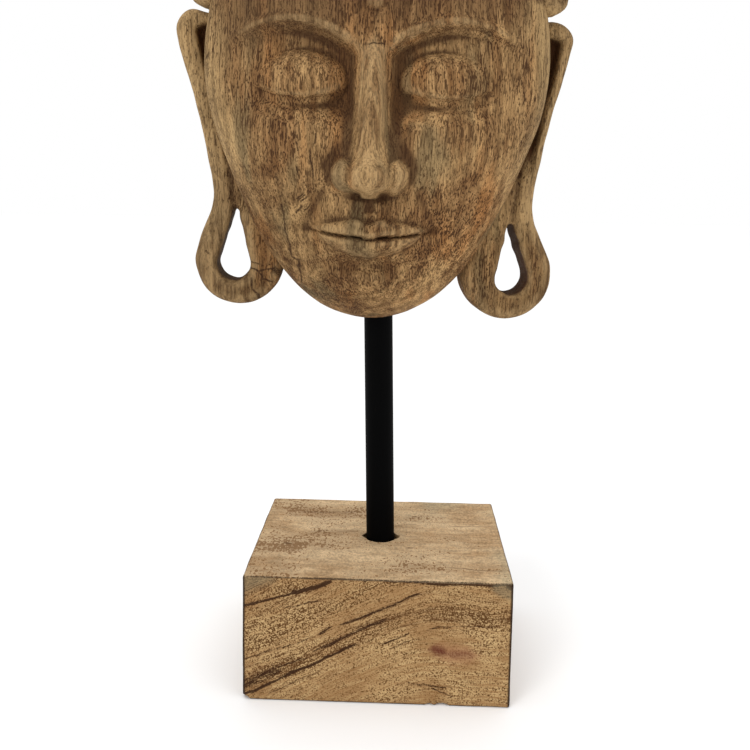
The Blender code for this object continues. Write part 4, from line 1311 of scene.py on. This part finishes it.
def side_wood(nodes, grit, cloud):
    """The block's sides: pale ground, slanting layers where dark strands and specks crowd, and a knot."""
    x, y, z = nodes.parts(nodes.place)
    sway = nodes.noise(nodes.place, 30.0)

    # Level in the layers: they rise by half of x and then sink slowly, and rise towards the front
    rising = nodes.times(x, 0.50)
    sinking = nodes.math("SUBTRACT", 0.0110, nodes.times(x, 0.06))
    rise = nodes.math("SMOOTH_MIN", rising, sinking, 0.012)
    behind = nodes.total(y, BLOCK_DEPTH / 2.0)
    level = nodes.total(z, (rise, -1.0), (behind, 1.5), (nodes.centred(sway), 0.0050))
    level = nodes.math("PINGPONG", level, 0.100)
    along = nodes.add("ShaderNodeCombineXYZ", {0: x, 1: y, 2: level})
    strand = nodes.noise(along, (50.0, 50.0, 700.0), 3.0, 0.65)
    thread = nodes.noise(along, (110.0, 110.0, 1900.0), 2.0, 0.6)
    layers = band_ramp(nodes, level, LAYER_TONES)
    specked = band_ramp(nodes, level, LAYER_SPECKS)

    # Ground, dark layers and specks
    colour = nodes.blend(nodes.spread(nodes.total(cloud, strand), 0.78, 1.26), SIDE_DEEP, SIDE_PALE)
    colour = nodes.blend(nodes.spread(nodes.total(thread, grit), 0.82, 1.25, 0.0, 0.72), colour, SIDE_THREAD)
    dark = nodes.spread(nodes.total(strand, (thread, 0.8), (grit, 0.5)), 0.98, 1.34, 0.05, 1.25)
    colour = nodes.blend(nodes.math("MINIMUM", nodes.times(layers, dark), 0.92), colour, SIDE_LAYER)
    clouded, stranded, threaded = [nodes.centred(noise) for noise in (cloud, strand, thread)]
    crowd = nodes.total((specked, 0.105), (clouded, 0.26), (stranded, 0.34), (threaded, 0.20))
    colour = nodes.tinted(colour, SIDE_SPECK, nodes.spread(nodes.total(grit, crowd), 0.560, 0.665), 0.94)

    # Drawn lines on the front, its greyed upper corners, and the knot
    front = nodes.spread(y, 0.0015 - BLOCK_DEPTH / 2.0, 0.0025 - BLOCK_DEPTH / 2.0, 1.0, 0.0)
    waved = nodes.swayed(nodes.place, (90.0, 0.0026), (600.0, 0.0008))
    across, _, up = nodes.parts(waved)
    lines = nodes.times(drawn_lines(nodes, across, up, FRONT_LINES), front)
    colour = nodes.tinted(colour, SIDE_LINE, lines, nodes.spread(thread, 0.35, 0.65, 0.30, 0.85))
    cores = nodes.spread(nodes.total(lines, thread, (grit, 0.7)), 1.24, 1.58)
    colour = nodes.tinted(colour, LINE_CORE, cores, 0.92)
    corners = [nodes.crack(waved, points, width) for width, points in GREY_CORNERS]
    colour = nodes.tinted(colour, GREY_CORNER, nodes.math("MAXIMUM", *corners), front, 0.55)
    across, _, up = nodes.parts(nodes.swayed(nodes.place, (130.0, 0.0040), (700.0, 0.0014)))
    halo = nodes.curve(across, up, KNOT, 0.0085)
    colour = nodes.tinted(colour, KNOT_HALO, halo, front, 0.50)
    heart = drawn_lines(nodes, across, up, ((0.0050, 1.00, KNOT[:2]), (0.0036, 0.55, KNOT[1:])))
    heart = nodes.times(heart, front)
    return nodes.tinted(colour, KNOT_HEART, heart, nodes.spread(grit, 0.3, 0.7, 0.75, 1.0))


def top_wood(nodes, cloud):
    """The block's top: pale, partly as painted light from above, cloudy, with lines along X, greyer at the
    right and specked at the left.
    """
    x = nodes.parts(nodes.place)[0]
    bent = nodes.swayed(nodes.place, (22.0, 0.014), (90.0, 0.004))
    streak = nodes.noise(bent, (16.0, 90.0, 60.0), 5.0, 0.65)
    wisp = nodes.noise(bent, (120.0, 460.0, 200.0), 3.0, 0.7)
    fleck = nodes.noise(nodes.place, (760.0, 420.0, 400.0), 2.0, 0.6)
    colour = nodes.blend(nodes.spread(nodes.total(streak, cloud), 0.78, 1.20), TOP_DEEP, TOP_PALE)
    greyed = nodes.total(nodes.noise(nodes.place, 24.0), (x, 3.2))
    colour = nodes.blend(nodes.spread(greyed, 0.60, 0.82, 0.0, 0.55), colour, TOP_GREY)
    colour = nodes.varied(colour, wisp, 0.32, 0.68, 0.78, 1.14)
    colour = nodes.varied(colour, fleck, 0.32, 0.68, 0.78, 1.16)
    left = nodes.spread(x, -0.065, 0.010, 1.0, 0.0)
    crowd = nodes.total((left, 0.070), (nodes.centred(cloud), 0.50), (nodes.centred(streak), -0.25))
    flecks = nodes.spread(nodes.total((fleck, 0.65), (wisp, 0.35), crowd), 0.575, 0.650, 0.0, 0.85)
    colour = nodes.blend(flecks, colour, TOP_FLECK)
    across, far, _ = nodes.parts(nodes.swayed(nodes.place, (60.0, 0.0036), (400.0, 0.0012)))
    lines = drawn_lines(nodes, across, far, TOP_LINES)
    return nodes.tinted(colour, TOP_LINE, lines, nodes.spread(fleck, 0.35, 0.60, 0.35, 1.0))


def block_finish():
    """Pale yellow-brown wood with darker layers on its sides, a smoother top that is paler partly as painted
    light from above, and dark edges that are partly painted shade on their rounding.
    """
    nodes = Nodes("pale block wood")
    z = nodes.parts(nodes.place)[2]
    grit = nodes.noise(nodes.place, 1250.0, 2.0, 0.7)
    cloud = nodes.noise(nodes.place, (30.0, 30.0, 48.0), 3.0, 0.6)
    on_top = nodes.spread(z, BLOCK_HEIGHT - 0.0009, BLOCK_HEIGHT - 0.0003)
    # The top is paler than the sides, partly as painted light from above
    colour = nodes.blend(on_top, side_wood(nodes, grit, cloud), top_wood(nodes, cloud))
    edge, upright = edge_gaps(nodes)
    rough = nodes.total((grit, 0.0016), (cloud, 0.0010), -0.0013)
    # Dark edges, partly painted shade on their rounding, wider on the upright edges
    edge_dark_and_shade = nodes.math("MAXIMUM", nodes.spread(nodes.total(edge, rough), 0.0003, 0.0010, 0.88, 0.0),
                       nodes.spread(nodes.total(upright, rough), 0.0008, 0.0017, 0.95, 0.0))
    colour = nodes.blend(edge_dark_and_shade, colour, EDGE_DARK_AND_SHADE)
    height = nodes.times(grit, nodes.spread(on_top, 0.0, 1.0, 1.0, 0.25))
    return nodes.finish(colour, nodes.spread(grit, 0.2, 0.8, 0.66, 0.82), 0.10, height, 0.7, 0.0004)


def rod_finish():
    """Near-black powder coat with a fine grain and a low sheen."""
    nodes = Nodes("black powder coat")
    speck = nodes.noise(nodes.place, 2600.0)
    colour = nodes.blend(nodes.spread(speck, 0.4, 0.7), COAT_DARK, COAT_LIGHT)
    return nodes.finish(colour, nodes.spread(speck, 0.3, 0.7, 0.50, 0.64), 0.03, speck, 0.12, 0.0001)


def dress(piece, material, node):
    """Puts the finish on a piece that stands for a CAD node."""
    piece.data.materials.clear()
    piece.data.materials.append(material)
    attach(piece, "root")
    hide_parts(node)


# Studio

def area_light(name, place, size, power):
    """Round white lamp aimed at the middle of the object."""
    light = bpy.data.lights.new(name, "AREA")
    light.shape = "DISK"
    light.size = size
    light.energy = power
    lamp = bpy.data.objects.new(name, light)
    bpy.context.scene.collection.objects.link(lamp)
    lamp.location = place
    lamp.rotation_euler = (LAMPS_AIM - Vector(place)).to_track_quat("-Z", "Y").to_euler()


def make_studio():
    """White paper floor, white surround, soft light from straight above and two soft lamps in front."""
    corners = [(-1.0, -1.0, 0.0), (1.0, -1.0, 0.0), (1.0, 1.0, 0.0), (-1.0, 1.0, 0.0)]
    floor = make_piece("floor", FLOOR_HALF * np.array(corners), [[(0, 1, 2, 3)]])
    floor.data.materials.append(Nodes("studio paper").finish(PAPER, 0.95, 0.1))
    world = bpy.data.worlds.new("studio")
    world.use_nodes = True
    bpy.context.scene.world = world
    tree = world.node_tree
    seen = tree.nodes.new("ShaderNodeLightPath").outputs["Is Camera Ray"]
    strength = tree.nodes.new("ShaderNodeMapRange")
    strength.inputs["To Min"].default_value = SURROUND_LIGHT
    tree.links.new(seen, strength.inputs["Value"])
    tree.links.new(strength.outputs["Result"], tree.nodes["Background"].inputs["Strength"])
    tree.nodes["Background"].inputs["Color"].default_value = (1.0, 1.0, 1.0, 1.0)
    above = bpy.data.lights.new("ceiling", "SUN")
    above.energy = CEILING_LIGHT
    above.angle = CEILING_SPREAD
    bpy.context.scene.collection.objects.link(bpy.data.objects.new("ceiling", above))
    for name, (place, size, power) in LAMPS.items():
        area_light(name, place, size, power)
    bpy.context.scene.view_settings.view_transform = "Standard"


def make_camera():
    """Camera in front of the object, a little to its right, turned slightly left and tipped down."""
    yaw, tilt, roll = np.radians(CAMERA_TURNS)
    forward = Vector((math.sin(yaw), math.cos(yaw), 0.0))
    right = Vector((math.cos(yaw), -math.sin(yaw), 0.0))
    up = Vector((0.0, 0.0, 1.0))
    look = forward * math.cos(tilt) - up * math.sin(tilt)
    high = up * math.cos(tilt) + forward * math.sin(tilt)
    rolled_right = right * math.cos(roll) + high * math.sin(roll)
    rolled_high = high * math.cos(roll) - right * math.sin(roll)
    lens = bpy.data.cameras.new("camera")
    lens.lens = LENS
    lens.sensor_width = SENSOR_WIDTH
    lens.shift_y = LENS_SHIFT
    lens.clip_start = 0.01
    lens.clip_end = 50.0
    camera = bpy.data.objects.new("camera", lens)
    bpy.context.scene.collection.objects.link(camera)
    axes = Matrix((rolled_right, rolled_high, -look)).transposed()
    camera.matrix_world = Matrix.Translation(CAMERA_AT) @ axes.to_4x4()
    bpy.context.scene.camera = camera


def main():
    """The three dressed pieces, then the studio and the camera."""
    dress(make_mask(), mask_finish(), "mask")
    dress(make_rod(), rod_finish(), "rod")
    dress(make_block(), block_finish(), "block")
    make_studio()
    make_camera()


main()
